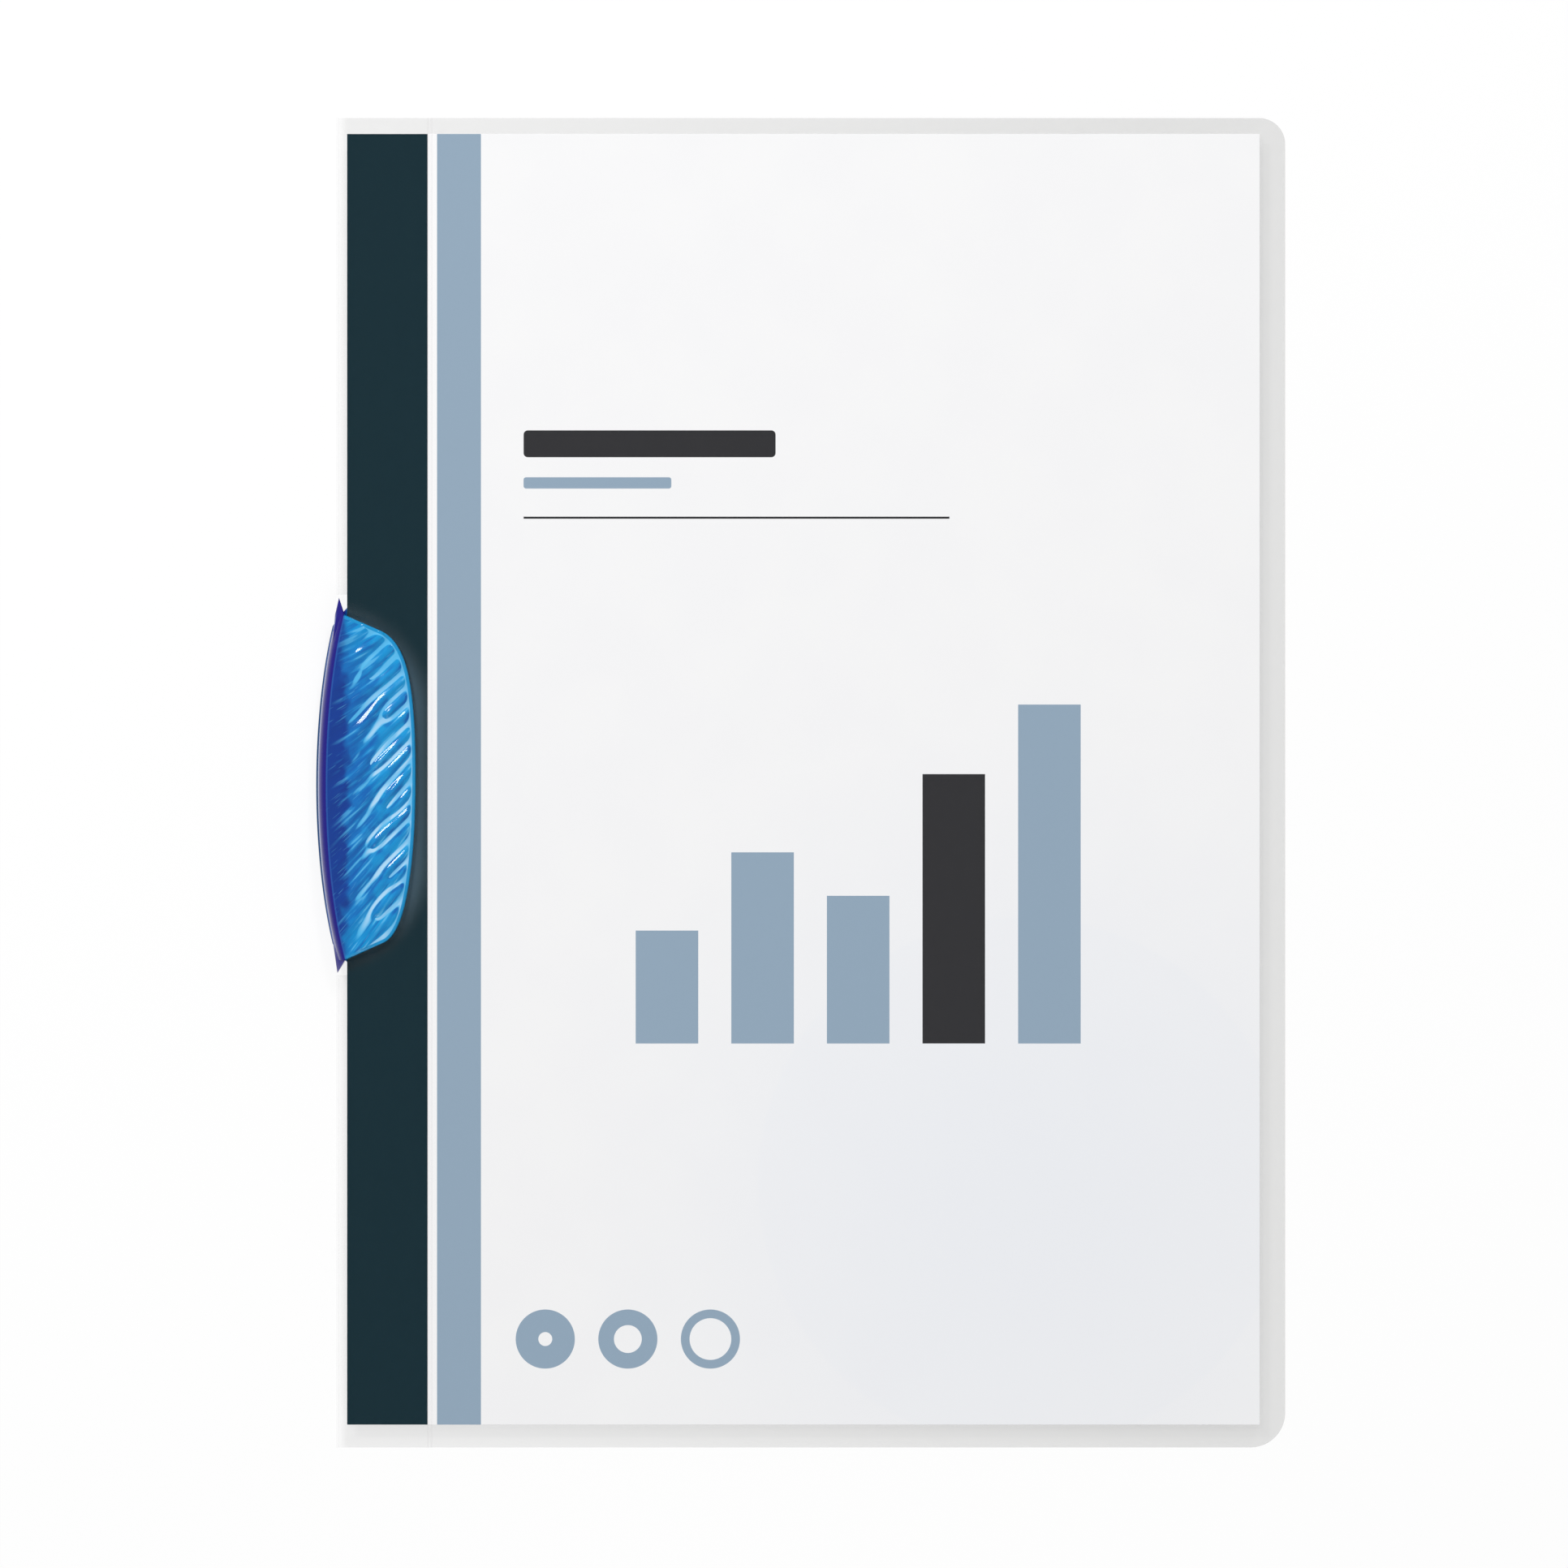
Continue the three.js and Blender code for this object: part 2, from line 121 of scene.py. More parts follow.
class FolderClipSettings(bpy.types.PropertyGroup):
    """Sizes and colours of the swinging clip."""

    plate_half_width: length("Plate half width", 0.0166, "Half the width of the back plate")
    plate_half_height: length("Plate half height", 0.0575, "Half the height of the plate's tall oval")
    plate_end_half_width: length("Plate end half width", 0.0216, "Half the width of the wider oval")
    plate_end_half_height: length("Plate end half height", 0.0454, "Half the height of the wider oval")
    plate_centre_y: length("Plate centre", -0.0005, "Height of the plate's centre", low=-0.1)
    plate_thickness: length("Plate thickness", 0.0014, "Thickness of the back plate")
    jaw_reach: length("Jaw reach", 0.0182, "How far the jaw reaches from the spine")
    jaw_top: length("Jaw top", 0.0387, "Height of the jaw's upper corner")
    jaw_bottom: length("Jaw bottom", -0.0408, "Height of the jaw's lower corner", low=-0.1)
    rim_thickness: length("Rim thickness", 0.00125, "Thickness of the jaw at its free edge")
    ripple_height: length("Ripple height", 0.00055, "Height of the moulded ripples")
    ripple_pitch: length("Ripple pitch", 0.0064, "Distance between ripples along the jaw")
    rows: IntProperty(name="Rows", description="Faces along the jaw", default=360, min=20)
    columns: IntProperty(name="Columns", description="Faces across the jaw", default=96, min=8)
    body_colour: colour("Body colour", (0.003, 0.15, 0.48), "Colour of the jaw")
    thick_colour: colour("Thick colour", (0.001, 0.038, 0.27), "Colour of the jaw where the web backs it")
    clear_colour: colour("Clear colour", (0.006, 0.305, 0.66), "Colour of the jaw where it is clearest")
    end_colour: colour("End colour", (0.001, 0.29, 0.65), "Colour of the jaw's thin ends")
    deep_colour: colour("Deep colour", (0.001, 0.082, 0.385), "Colour of the dark streaks")
    # Painted light: the light and lightest streaks stand for light refracted inside the clear plastic.
    streak_glow_colour: colour("Streak colour", (0.024, 0.33, 0.72), "Colour of the light streaks")
    spark_glow_colour: colour("Spark colour", (0.119, 0.507, 0.815), "Colour of the lightest streaks")
    # Painted light: the grooves' lighter and palest colours stand for light gathered and refracted in the
    # clear plastic.
    groove_glow_colour: colour("Groove colour", (0.09, 0.5, 0.85), "Colour of the grooves between ripples")
    pale_colour: colour("Pale colour", (0.5, 0.75, 0.96), "Colour of the palest grooves")
    crown_colour: colour("Crown colour", (0.004, 0.26, 0.61), "Colour of the ripples' crowns")
    rim_colour: colour("Rim colour", (0.005, 0.279, 0.602), "Colour of the jaw's rim")
    web_seam_colour: colour("Web seam colour", (0.022, 0.11, 0.42), "Colour of the line beside the web")
    web_colour: colour("Web colour", (0.01, 0.006, 0.21), "Colour of the smooth web")
    # Painted highlight: the pale line along the web stands for a reflection on its rounded outer edge.
    web_highlight_colour: colour("Web line colour", (0.16, 0.22, 0.5), "Colour of the pale line along the web")
    web_edge_colour: colour("Web edge colour", (0.015, 0.07, 0.19), "Colour of the web's outer edge")


class FolderFilmSettings(bpy.types.PropertyGroup):
    """Look of the clear film."""

    # The haze is dark grey, so where it is thick it paints the shade and shadow under the film.
    haze_and_shade_colour: colour("Haze colour", (0.3, 0.3, 0.29), "Colour of the film's haze")
    front_haze: share("Front haze", 0.006, "How much the front film hides")
    # Painted shadow: the back film's haze darkens the margins as the film's shadow would, and its gain is
    # painted shade that darkens them more towards the front edge.
    back_haze_and_shadow: share("Back haze", 0.2, "How much the back film hides beside the spine")
    back_shade_gain: share("Back haze gain", 0.15, "How much more it hides at the front edge")
    slant_haze: share("Slant haze", 0.45, "How much more the film hides when seen at a slant")
    # Painted shade: the crease is real, and its grey-pink tint stands for the shade in the fold.
    crease_shade_colour: colour("Crease colour", (0.4, 0.34, 0.39), "Colour of the folded crease")
    crease_shade_haze: share("Crease haze", 0.06, "How much the crease hides")
    # Painted sheen: the pale glow on the pressed seat round the jaw stands in for the film's reflection
    # there.
    seat_sheen_colour: colour("Seat colour", (0.45, 0.7, 0.9), "Colour of the pressed seat round the jaw")
    seat_sheen_haze: share("Seat haze", 0.12, "How much the pressed seat hides")


class FolderSheetSettings(bpy.types.PropertyGroup):
    """Sizes and colours of the print on the title sheet."""

    dark_stripe: length("Dark stripe", 0.0184, "Width of the dark stripe at the spine")
    stripe_gap: length("Stripe gap", 0.0021, "White gap between the two stripes")
    light_stripe: length("Light stripe", 0.0103, "Width of the light stripe")
    paper_colour: colour("Paper colour", (0.915, 0.915, 0.92), "Colour of the bare paper")
    dark_colour: colour("Dark colour", (0.005, 0.022, 0.031), "Colour of the dark stripe")
    light_colour: colour("Light colour", (0.287, 0.386, 0.49), "Colour of the light stripe")
    pale_colour: colour("Pale colour", (0.84, 0.86, 0.9), "Colour of the large pale field")
    ink_colour: colour("Ink colour", (0.03, 0.03, 0.033), "Colour of the dark print")


class FolderStageSettings(bpy.types.PropertyGroup):
    """Camera, lamps and floor."""

    camera_height: length("Camera height", 3.6, "Height of the camera over the folder")
    frame_width: length("Frame width", 0.3607, "Width of the picture at the folder")
    centre_x: length("Picture centre", 0.10293, "The picture's centre, from the spine")
    floor_size: length("Floor size", 6.0, "Side of the square floor")
    world_strength: FloatProperty(
        name="World strength", description="Even light from all round", default=0.42, min=0.0
    )


def deselect():
    """Leaves nothing selected, so an operator acts on the new piece alone."""
    bpy.ops.object.select_all(action="DESELECT")


def settle(obj, name):
    """Names a finished piece and bakes its place into its mesh."""
    deselect()
    obj.select_set(True)
    bpy.context.view_layer.objects.active = obj
    bpy.ops.object.transform_apply(location=True, rotation=True, scale=True)
    obj.name = name
    obj.data.name = name
    return obj


def apply_modifiers(obj):
    """Applies every modifier of a piece, in order."""
    deselect()
    obj.select_set(True)
    bpy.context.view_layer.objects.active = obj
    for modifier in list(obj.modifiers):
        bpy.ops.object.modifier_apply(modifier=modifier.name)


def combine(obj, other, operation):
    """Joins or cuts a piece with another, which is then removed."""
    modifier = obj.modifiers.new(operation.title(), "BOOLEAN")
    modifier.operation = operation
    modifier.solver = "MANIFOLD"
    modifier.object = other
    apply_modifiers(obj)
    bpy.data.objects.remove(other)


def hill(name, points, floor):
    """A closed solid: a grid plane with its points lifted and its border taken down to a flat floor."""
    rows, columns = len(points) - 1, len(points[0]) - 1
    deselect()
    bpy.ops.mesh.primitive_grid_add(x_subdivisions=columns, y_subdivisions=rows, size=1)
    obj = bpy.context.object
    for vertex in obj.data.vertices:
        column = round((vertex.co.x + 0.5) * columns)
        row = round((0.5 - vertex.co.y) * rows)
        vertex.co = points[row][column]
    bpy.ops.object.mode_set(mode="EDIT")
    bpy.ops.mesh.select_mode(type="EDGE")
    bpy.ops.mesh.select_all(action="DESELECT")
    bpy.ops.mesh.select_non_manifold(extend=False)
    bpy.ops.mesh.extrude_region_move()
    bpy.ops.transform.resize(value=(1, 1, 0), center_override=(0, 0, floor))
    bpy.ops.mesh.edge_face_add()
    bpy.ops.mesh.select_all(action="SELECT")
    bpy.ops.mesh.normals_make_consistent(inside=False)
    bpy.ops.object.mode_set(mode="OBJECT")
    obj.name = name
    return obj


def box(name, low, high):
    """A plain box between two corners, used to cut with."""
    deselect()
    middle = [(a + b) / 2 for a, b in zip(low, high)]
    bpy.ops.mesh.primitive_cube_add(size=1, location=middle)
    obj = bpy.context.object
    obj.scale = [b - a for a, b in zip(low, high)]
    return settle(obj, name)


class ClipShape:
    """The clip's curves, worked out from its settings. Lengths are in metres, x from the spine."""

    WEB_LIP = 0.35 * MM
    WEB_WALL = 1.35 * MM
    WEB_SHOULDER = 2.3 * MM
    WEB_BULGE = 1.6
    WEB_COLUMNS = 14
    SHOULDER_HALF_HEIGHT = 55.5 * MM
    END_RISE = 0.75 * MM
    CROWN_RISE = 1.7 * MM
    CROWN_BULGE_ALONG = 0.7
    CROWN_BULGE_ACROSS = 1.8
    ARCH_RISE = 0.9 * MM
    ARCH_BULGE = 1.2
    SEAT_GAP = 0.3 * MM
    SEAT_DEPTH = 0.35 * MM
    TIP_CLEARANCE = 0.45 * MM
    EDGE_ROUND = 0.45 * MM
    PLATE_ROUND = 0.4 * MM

    # The ripples' flow lines, in millimetres from the spine and the middle.
    RIPPLE_LEAN = 0.72
    RIPPLE_LEAN_FALL = 0.011
    RIPPLE_CURL = 0.022
    FLOW_CLIMB = 0.9
    # Each sway's size, its rates along and across the flow, and its start.
    RIPPLE_SWAYS = ((0.5, 0.13, 0.0, 0.9), (0.4, 0.1, 0.31, 0.0))
    RIPPLE_FORKS = ((7.5, 24), (11, 15), (8, 4), (11.5, -6), (8, -15), (12, -22), (9, -31))
    FORK_SOFTNESS = 0.5

    # The ripples' heights, as shares of the full height. Starts and runs are in millimetres.
    CREST_SHARPNESS = 1.3
    SWELL = 0.22
    SWELL_ALONG = 0.21
    SWELL_ACROSS = 0.47
    ROOT_HEIGHT = 0.3
    ROOT_START = -4
    ROOT_RUN = 9
    LOW_END = 0.12
    LOW_END_START = -4
    LOW_END_RUN = 8
    # Each tall spot's centre, half length and half width in millimetres, and its extra height.
    TALL_SPOTS = (
        (11.6, 2.1, 4.6, 2.5, 0.3),
        (14.6, -2.2, 2.2, 2.2, 0.4),
        (10, 19, 4, 2, 0.6),
        (9, 14.5, 4, 2, 0.6),
    )
    TALL_SPOT_TURN = math.radians(50)

    # How the ripples, and their colours, fade out beside the root and the rim.
    ROOT_FADE = 1.1 * MM
    RIM_FADE_START = 0.4 * MM
    RIM_COLOUR_FADE_START = 0.6 * MM
    RIM_FADE_RUN = 1.4 * MM

    WEB_TOP_END = 34.8 * MM
    SLOT_LENGTH = 20 * MM
    CUT_MARGIN = 1 * MM
    PIVOT = (6 * MM, 37 * MM)
    STUD_RADIUS = 2 * MM
    HEAD_RADIUS = 3.2 * MM
    HEAD_THICKNESS = 0.4 * MM
    TOP_TIP = (0.6 * MM, 42.6 * MM)
    TOP_TIP_START = 0.6
    BOTTOM_TIP = (0.15 * MM, -43.8 * MM)
    BOTTOM_TIP_START = 0.1
    TIP_SECTION = ((0, 0), (0.12, 0.5), (1, 0.97), (1.1, 0.6), (0.85, 0))
    TIP_APEX_RISE = 0.4
    TIP_RUN_IN = 0.08
    CAVITY_HAUNCH = ((0.2 * MM, 0.45), (0.5 * MM, 0.8))
    CAVITY_ROOF_INSET = 1.5 * MM
    CAVITY_PAST_ENDS = 8 * MM
    CAVITY_PAST_JAW = 5 * MM
    CAVITY_ROWS = 40
    CAVITY_COLUMNS = 8
    SMOOTH_ANGLE = math.radians(38)

    def __init__(self, settings):
        self.s = settings
        self.centre_x = CLIP_LOW.x - SPINE_X + settings.plate_half_width
        self.tip_bottom = FRONT_HIGH.z - self.SEAT_DEPTH + self.SEAT_GAP
        self.tip_top = self.tip_bottom + settings.rim_thickness
        self.slot_top = FRONT_HIGH.z + self.TIP_CLEARANCE
        self.head_bottom = COVER_LOW.z + FRONT_HIGH.z - FRONT_LOW.z + self.SEAT_GAP
        self.edge = self.free_edge()

    def oval_x(self, y, half_width, half_height):
        rise = (y - self.s.plate_centre_y) / half_height
        return self.centre_x - half_width * math.sqrt(1 - rise * rise)

    def plate_x(self, y):
        return self.oval_x(y, self.s.plate_half_width, self.s.plate_half_height)

    def shoulder_x(self, y):
        return self.oval_x(y, self.s.plate_half_width - self.WEB_SHOULDER, self.SHOULDER_HALF_HEIGHT)

    def free_edge(self):
        """The jaw's free edge as evenly spaced points, from its upper to its lower corner."""
        reach = self.s.jaw_reach / MM
        # Each bend is a start, a control point and an end, in millimetres from the spine and the middle.
        bends = [
            ((10.1, 35), (14.25, 33.2), (16.1, 26.6)),
            ((16.1, 26.6), (reach, 19.1), (reach, 2)),
            ((reach, 2), (reach, -17.2), (15.85, -27.5)),
            ((15.85, -27.5), (14.04, -35.4), (10.8, -36.8)),
        ]
        fine = []
        steps = 100
        for start, control, end in bends:
            for k in range(steps):
                t = k / steps
                fine.append(Vector([
                    MM * ((1 - t) ** 2 * a + 2 * t * (1 - t) * b + t * t * c)
                    for a, b, c in zip(start, control, end)
                ]))
        fine.append(Vector((bends[-1][2][0] * MM, bends[-1][2][1] * MM)))
        run = [0.0]
        for a, b in zip(fine, fine[1:]):
            run.append(run[-1] + (b - a).length)
        count = self.s.rows
        points = []
        k = 0
        for i in range(count + 1):
            goal = run[-1] * i / count
            while k + 2 < len(run) and run[k + 1] < goal:
                k += 1
            t = (goal - run[k]) / (run[k + 1] - run[k])
            points.append(fine[k].lerp(fine[k + 1], t))
        return points

    def flow(self, x, y):
        """Where a point lies along and across the ripples' flow, in millimetres."""
        x, y = x / MM, y / MM
        lean = self.RIPPLE_LEAN - self.RIPPLE_LEAN_FALL * y
        return x + self.FLOW_CLIMB * y, y - lean * x - self.RIPPLE_CURL * x * x

    def wave(self, x, y):
        """How near a point is to a ripple's crown, from 0 to 1. Each fork starts a ripple beyond it."""
        along, across = self.flow(x, y)
        phase = 2 * math.pi * across * MM / self.s.ripple_pitch
        for size, along_rate, across_rate, start in self.RIPPLE_SWAYS:
            phase += size * math.sin(along_rate * along + across_rate * across + start)
        for fork_x, fork_y in self.RIPPLE_FORKS:
            phase += math.atan2(y / MM - fork_y, x / MM - fork_x)
        return 0.5 + 0.5 * math.cos(phase)

    def ripple(self, x, y):
        """The ripples' height as a share: low at the root, calm at forks and tall in a few spots."""
        along, across = self.flow(x, y)
        swell = math.sin(self.SWELL_ACROSS * across + self.SWELL_ALONG * along)
        height = self.wave(x, y) ** self.CREST_SHARPNESS * (1 - self.SWELL + self.SWELL * swell)
        x, y = x / MM, y / MM
        height *= mix(self.ROOT_HEIGHT, 1, clamp01((x - self.ROOT_START) / self.ROOT_RUN))
        height *= 1 - self.LOW_END * smooth((self.LOW_END_START - y) / self.LOW_END_RUN)
        for fork_x, fork_y in self.RIPPLE_FORKS:
            away = (x - fork_x) ** 2 + (y - fork_y) ** 2
            height *= away / (away + self.FORK_SOFTNESS)
        gain = 1.0
        cos, sin = math.cos(self.TALL_SPOT_TURN), math.sin(self.TALL_SPOT_TURN)
        for spot_x, spot_y, half_length, half_width, extra in self.TALL_SPOTS:
            lengthwise = ((x - spot_x) * cos + (y - spot_y) * sin) / half_length
            crosswise = ((y - spot_y) * cos - (x - spot_x) * sin) / half_width
            gain += extra * math.exp(-lengthwise * lengthwise - crosswise * crosswise)
        return height * gain

    def jaw(self, u, row):
        """A point of the jaw's front, u of the way from the web to the free edge."""
        v = row / self.s.rows
        y0 = mix(self.s.jaw_top, self.s.jaw_bottom, v)
        outer = self.edge[row]
        x0 = self.shoulder_x(y0)
        x, y = mix(x0, outer.x, u), mix(y0, outer.y, u)
        bow = math.sin(math.pi * v) ** self.CROWN_BULGE_ALONG if 0 < v < 1 else 0.0
        ridge = self.tip_top + mix(self.END_RISE, self.CROWN_RISE, bow)
        z = self.tip_top + (ridge - self.tip_top) * (1 - u ** self.CROWN_BULGE_ACROSS)
        across, along = outer.x - x0, self.s.jaw_top - self.s.jaw_bottom
        inside = min((1 - u) * across, v * along, (1 - v) * along)
        fade = smooth((inside - self.RIM_FADE_START) / self.RIM_FADE_RUN)
        fade *= smooth(u * across / self.ROOT_FADE)
        if u > 0:
            round_off = 1 - clamp01(inside / self.EDGE_ROUND)
            z -= self.EDGE_ROUND * (1 - math.sqrt(1 - round_off * round_off))
        return Vector((SPINE_X + x, y, z + self.s.ripple_height * fade * self.ripple(x, y)))

    def web(self, s, row):
        """A point of the web's outer face, s of the way from the plate to the jaw's root."""
        root = self.jaw(0, row)
        foot = SPINE_X + self.plate_x(root.y) + self.WEB_LIP
        x = mix(foot, root.x, s * s)
        z = mix(self.s.plate_thickness / 2, root.z, 1 - (1 - s) ** self.WEB_BULGE)
        return Vector((x, root.y, z))

    def shell_points(self):
        """The outer face of web and jaw, row by row from the top."""
        columns = self.s.columns
        return [
            [self.web(j / self.WEB_COLUMNS, row) for j in range(self.WEB_COLUMNS)]
            + [self.jaw(j / columns, row) for j in range(columns + 1)]
            for row in range(self.s.rows + 1)
        ]

    def cavity_points(self):
        """The roof of the space inside the clip, where the film and the sheets go."""
        rows, columns = self.CAVITY_ROWS, self.CAVITY_COLUMNS
        roof = self.tip_bottom + self.ARCH_RISE
        points = []
        for i in range(rows + 1):
            past = self.CAVITY_PAST_ENDS
            y = mix(self.s.jaw_top + past, self.s.jaw_bottom - past, i / rows)
            wall = self.plate_x(y) + self.WEB_LIP + self.WEB_WALL
            row = [(wall, self.s.plate_thickness / 2)]
            for inset, rise in self.CAVITY_HAUNCH:
                row.append((wall + inset, mix(self.s.plate_thickness, roof, rise)))
            for k in range(columns + 1):
                t = k / columns
                x = mix(wall + self.CAVITY_ROOF_INSET, self.s.jaw_reach, t)
                row.append((x, mix(self.tip_bottom, roof, (1 - t) ** self.ARCH_BULGE)))
            row.append((self.s.jaw_reach + self.CAVITY_PAST_JAW, self.tip_bottom))
            points.append([Vector((SPINE_X + x, y, z)) for x, z in row])
        return points

    def tip_points(self, row, start, apex, bottom):
        """The corners of a pointed end of the web, which leaves the web's face at a start point."""
        root = self.jaw(0, row)
        edge = SPINE_X + self.plate_x(root.y)
        corners = [
            Vector((mix(edge, root.x, across), root.y, mix(bottom, root.z, rise)))
            for across, rise in self.TIP_SECTION
        ]
        apex_z = mix(bottom, root.z, self.TIP_APEX_RISE)
        return corners + [start, Vector((SPINE_X + apex[0], apex[1], apex_z))]


class FOLDER_OT_make_clip(bpy.types.Operator):
    """Models the clip as one moulding: oval plate, curved web, rippled jaw and pivot stud"""

    bl_idname = "folder.make_clip"
    bl_label = "Make clip"

    def execute(self, context):
        settings = context.scene.folder_clip
        shape = ClipShape(settings)
        rows, floor = settings.rows, settings.plate_thickness / 2
        clip = hill("clip_moulding", shape.shell_points(), floor / 2)
        combine(clip, hill("clip_cavity", shape.cavity_points(), -shape.CUT_MARGIN), "DIFFERENCE")
        slot_low = (CLIP_LOW.x - shape.CUT_MARGIN, shape.WEB_TOP_END, -shape.CUT_MARGIN)
        slot_right = SPINE_X + shape.STUD_RADIUS + shape.CUT_MARGIN
        slot_high = (slot_right, shape.WEB_TOP_END + shape.SLOT_LENGTH, shape.slot_top)
        combine(clip, box("clip_slot", slot_low, slot_high), "DIFFERENCE")
        top_start = shape.web(shape.TOP_TIP_START, round(rows * shape.TIP_RUN_IN))
        bottom_start = shape.web(shape.BOTTOM_TIP_START, round(rows * (1 - shape.TIP_RUN_IN)))
        combine(clip, self.tip(shape.tip_points(0, top_start, shape.TOP_TIP, shape.slot_top)), "UNION")
        combine(clip, self.tip(shape.tip_points(rows, bottom_start, shape.BOTTOM_TIP, floor)), "UNION")
        combine(clip, self.plate(shape), "UNION")
        combine(clip, self.stud(shape, shape.STUD_RADIUS, floor), "UNION")
        combine(clip, self.stud(shape, shape.HEAD_RADIUS, shape.head_bottom), "UNION")
        settle(clip, "clip_moulding")
        mark_clip(clip, shape)
        clip.data.materials.clear()
        clip.data.materials.append(clip_material(settings))
        bpy.ops.object.shade_smooth_by_angle(angle=shape.SMOOTH_ANGLE)
        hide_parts("clip")
        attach(clip, "swing_clip")
        return {"FINISHED"}

    def oval(self, shape, half_width, half_height):
        """A flat oval slab about the plate's centre."""
        thickness = shape.s.plate_thickness
        deselect()
        bpy.ops.mesh.primitive_cylinder_add(
            vertices=200, radius=1, depth=1,
            location=(SPINE_X + shape.centre_x, shape.s.plate_centre_y, thickness / 2),
        )
        slab = bpy.context.object
        slab.scale = (half_width, half_height, thickness)
        return settle(slab, "clip_plate")

    def plate(self, shape):
        """The back plate: a tall oval cut shorter by a wider one, with rounded edges."""
        s = shape.s
        plate = self.oval(shape, s.plate_half_width, s.plate_half_height)
        end = self.oval(shape, s.plate_end_half_width, s.plate_end_half_height)
        combine(plate, end, "INTERSECT")
        bevel = plate.modifiers.new("Rounded edge", "BEVEL")
        bevel.width = shape.PLATE_ROUND
        bevel.segments = 4
        bevel.limit_method = "ANGLE"
        bevel.angle_limit = math.radians(50)
        apply_modifiers(plate)
        return plate

    def stud(self, shape, radius, low):
        """A round post from a level up to the top of the pivot's head."""
        high = shape.head_bottom + shape.HEAD_THICKNESS
        deselect()
        bpy.ops.mesh.primitive_cylinder_add(
            vertices=64, radius=radius, depth=high - low,
            location=(SPINE_X + shape.PIVOT[0], shape.PIVOT[1], (low + high) / 2),
        )
        return settle(bpy.context.object, "clip_stud")

    def tip(self, corners):
        """A convex solid between corners."""
        deselect()
        bpy.ops.mesh.primitive_cube_add(size=1)
        tip = bpy.context.object
        bpy.ops.object.mode_set(mode="EDIT")
        bpy.ops.mesh.select_all(action="SELECT")
        bpy.ops.mesh.delete(type="VERT")
        bpy.ops.object.mode_set(mode="OBJECT")
        tip.data.vertices.add(len(corners))
        for vertex, corner in zip(tip.data.vertices, corners):
            vertex.co = corner
        bpy.ops.object.mode_set(mode="EDIT")
        bpy.ops.mesh.select_all(action="SELECT")
        bpy.ops.mesh.convex_hull()
        bpy.ops.mesh.normals_make_consistent(inside=False)
        bpy.ops.object.mode_set(mode="OBJECT")
        return tip


CLIP_MARKS = ("groove", "from_root", "from_rim", "on_jaw")


def mark_clip(clip, shape):
    """Writes where each point lies in the flow and the grooves, and how far from root and rim in mm."""
    rows, columns = shape.s.rows, shape.s.columns
    outline = [shape.jaw(1, row) for row in range(rows + 1)]
    outline += [shape.jaw(j / columns, row) for row in (0, rows) for j in range(columns + 1)]
    tree = KDTree(len(outline))
    for index, point in enumerate(outline):
        tree.insert((point.x, point.y, 0.0), index)
    tree.balance()
    marks = clip.data.attributes
    marks.new("flow", "FLOAT_VECTOR", "POINT")
    for name in CLIP_MARKS:
        marks.new(name, "FLOAT", "POINT")
    flows = marks["flow"].data
    grooves, roots, rims, jaws = (marks[name].data for name in CLIP_MARKS)
    for index, vertex in enumerate(clip.data.vertices):
        x, y = vertex.co.x - SPINE_X, vertex.co.y
        past_root = x - shape.shoulder_x(y)
        to_rim = tree.find((vertex.co.x, y, 0.0))[2]
        on_jaw = vertex.co.z > shape.tip_bottom and past_root >= 0
        fade = smooth((to_rim - shape.RIM_COLOUR_FADE_START) / shape.RIM_FADE_RUN)
        flows[index].vector = (*shape.flow(x, y), 0.0)
        roots[index].value = past_root / MM
        rims[index].value = to_rim / MM
        grooves[index].value = 1 - shape.wave(x, y) * fade
        jaws[index].value = float(on_jaw)


class NodeTree:
    """Short ways to add and join nodes in one node tree."""

    def __init__(self, tree):
        self.tree = tree

    def add(self, kind, inputs=None, **values):
        node = self.tree.nodes.new(kind)
        for name, value in values.items():
            setattr(node, name, value)
        for name, value in (inputs or {}).items():
            if isinstance(value, bpy.types.NodeSocket):
                self.tree.links.new(value, node.inputs[name])
            else:
                node.inputs[name].default_value = value
        return node

    def math(self, operation, a, b=0.0, clamp=False):
        return self.add("ShaderNodeMath", {0: a, 1: b}, operation=operation, use_clamp=clamp).outputs[0]

    def vector(self, operation, a, b=(0.0, 0.0, 0.0)):
        node = self.add("ShaderNodeVectorMath", {0: a, 1: b}, operation=operation)
        return node.outputs["Value" if operation in ("LENGTH", "DOT_PRODUCT") else "Vector"]

    def times(self, *factors):
        product = factors[0]
        for factor in factors[1:]:
            product = self.math("MULTIPLY", product, factor)
        return product

    def noise(self, vector, scale, detail):
        return self.add(
            "ShaderNodeTexNoise", {"Vector": vector, "Scale": scale, "Detail": detail}
        ).outputs["Fac"]

    def ramp(self, value, low, high, out_low=0.0, out_high=1.0):
        """A smooth rise from one output to another while the value goes from low to high."""
        return self.add(
            "ShaderNodeMapRange",
            {"Value": value, "From Min": low, "From Max": high, "To Min": out_low, "To Max": out_high},
            interpolation_type="SMOOTHSTEP",
        ).outputs["Result"]

    def blend(self, factor, a, b):
        node = self.add("ShaderNodeMix", data_type="RGBA")
        for socket, value in (
            (node.inputs[0], factor), (node.inputs[6], a), (node.inputs[7], b),
        ):
            if isinstance(value, bpy.types.NodeSocket):
                self.tree.links.new(value, socket)
            elif socket.type == "RGBA":
                socket.default_value = (*value[:3], 1.0)
            else:
                socket.default_value = value
        return node.outputs[2]


def new_material(name):
    """A material with an empty node tree and its output."""
    material = bpy.data.materials.new(name)
    material.use_nodes = True
    material.node_tree.nodes.clear()
    nodes = NodeTree(material.node_tree)
    output = nodes.add("ShaderNodeOutputMaterial")
    return material, nodes, output


def finish_with(nodes, output, inputs):
    """Adds the plastic or paper shader and joins it to the material's output."""
    shader = nodes.add("ShaderNodeBsdfPrincipled", inputs)
    nodes.tree.links.new(shader.outputs["BSDF"], output.inputs["Surface"])


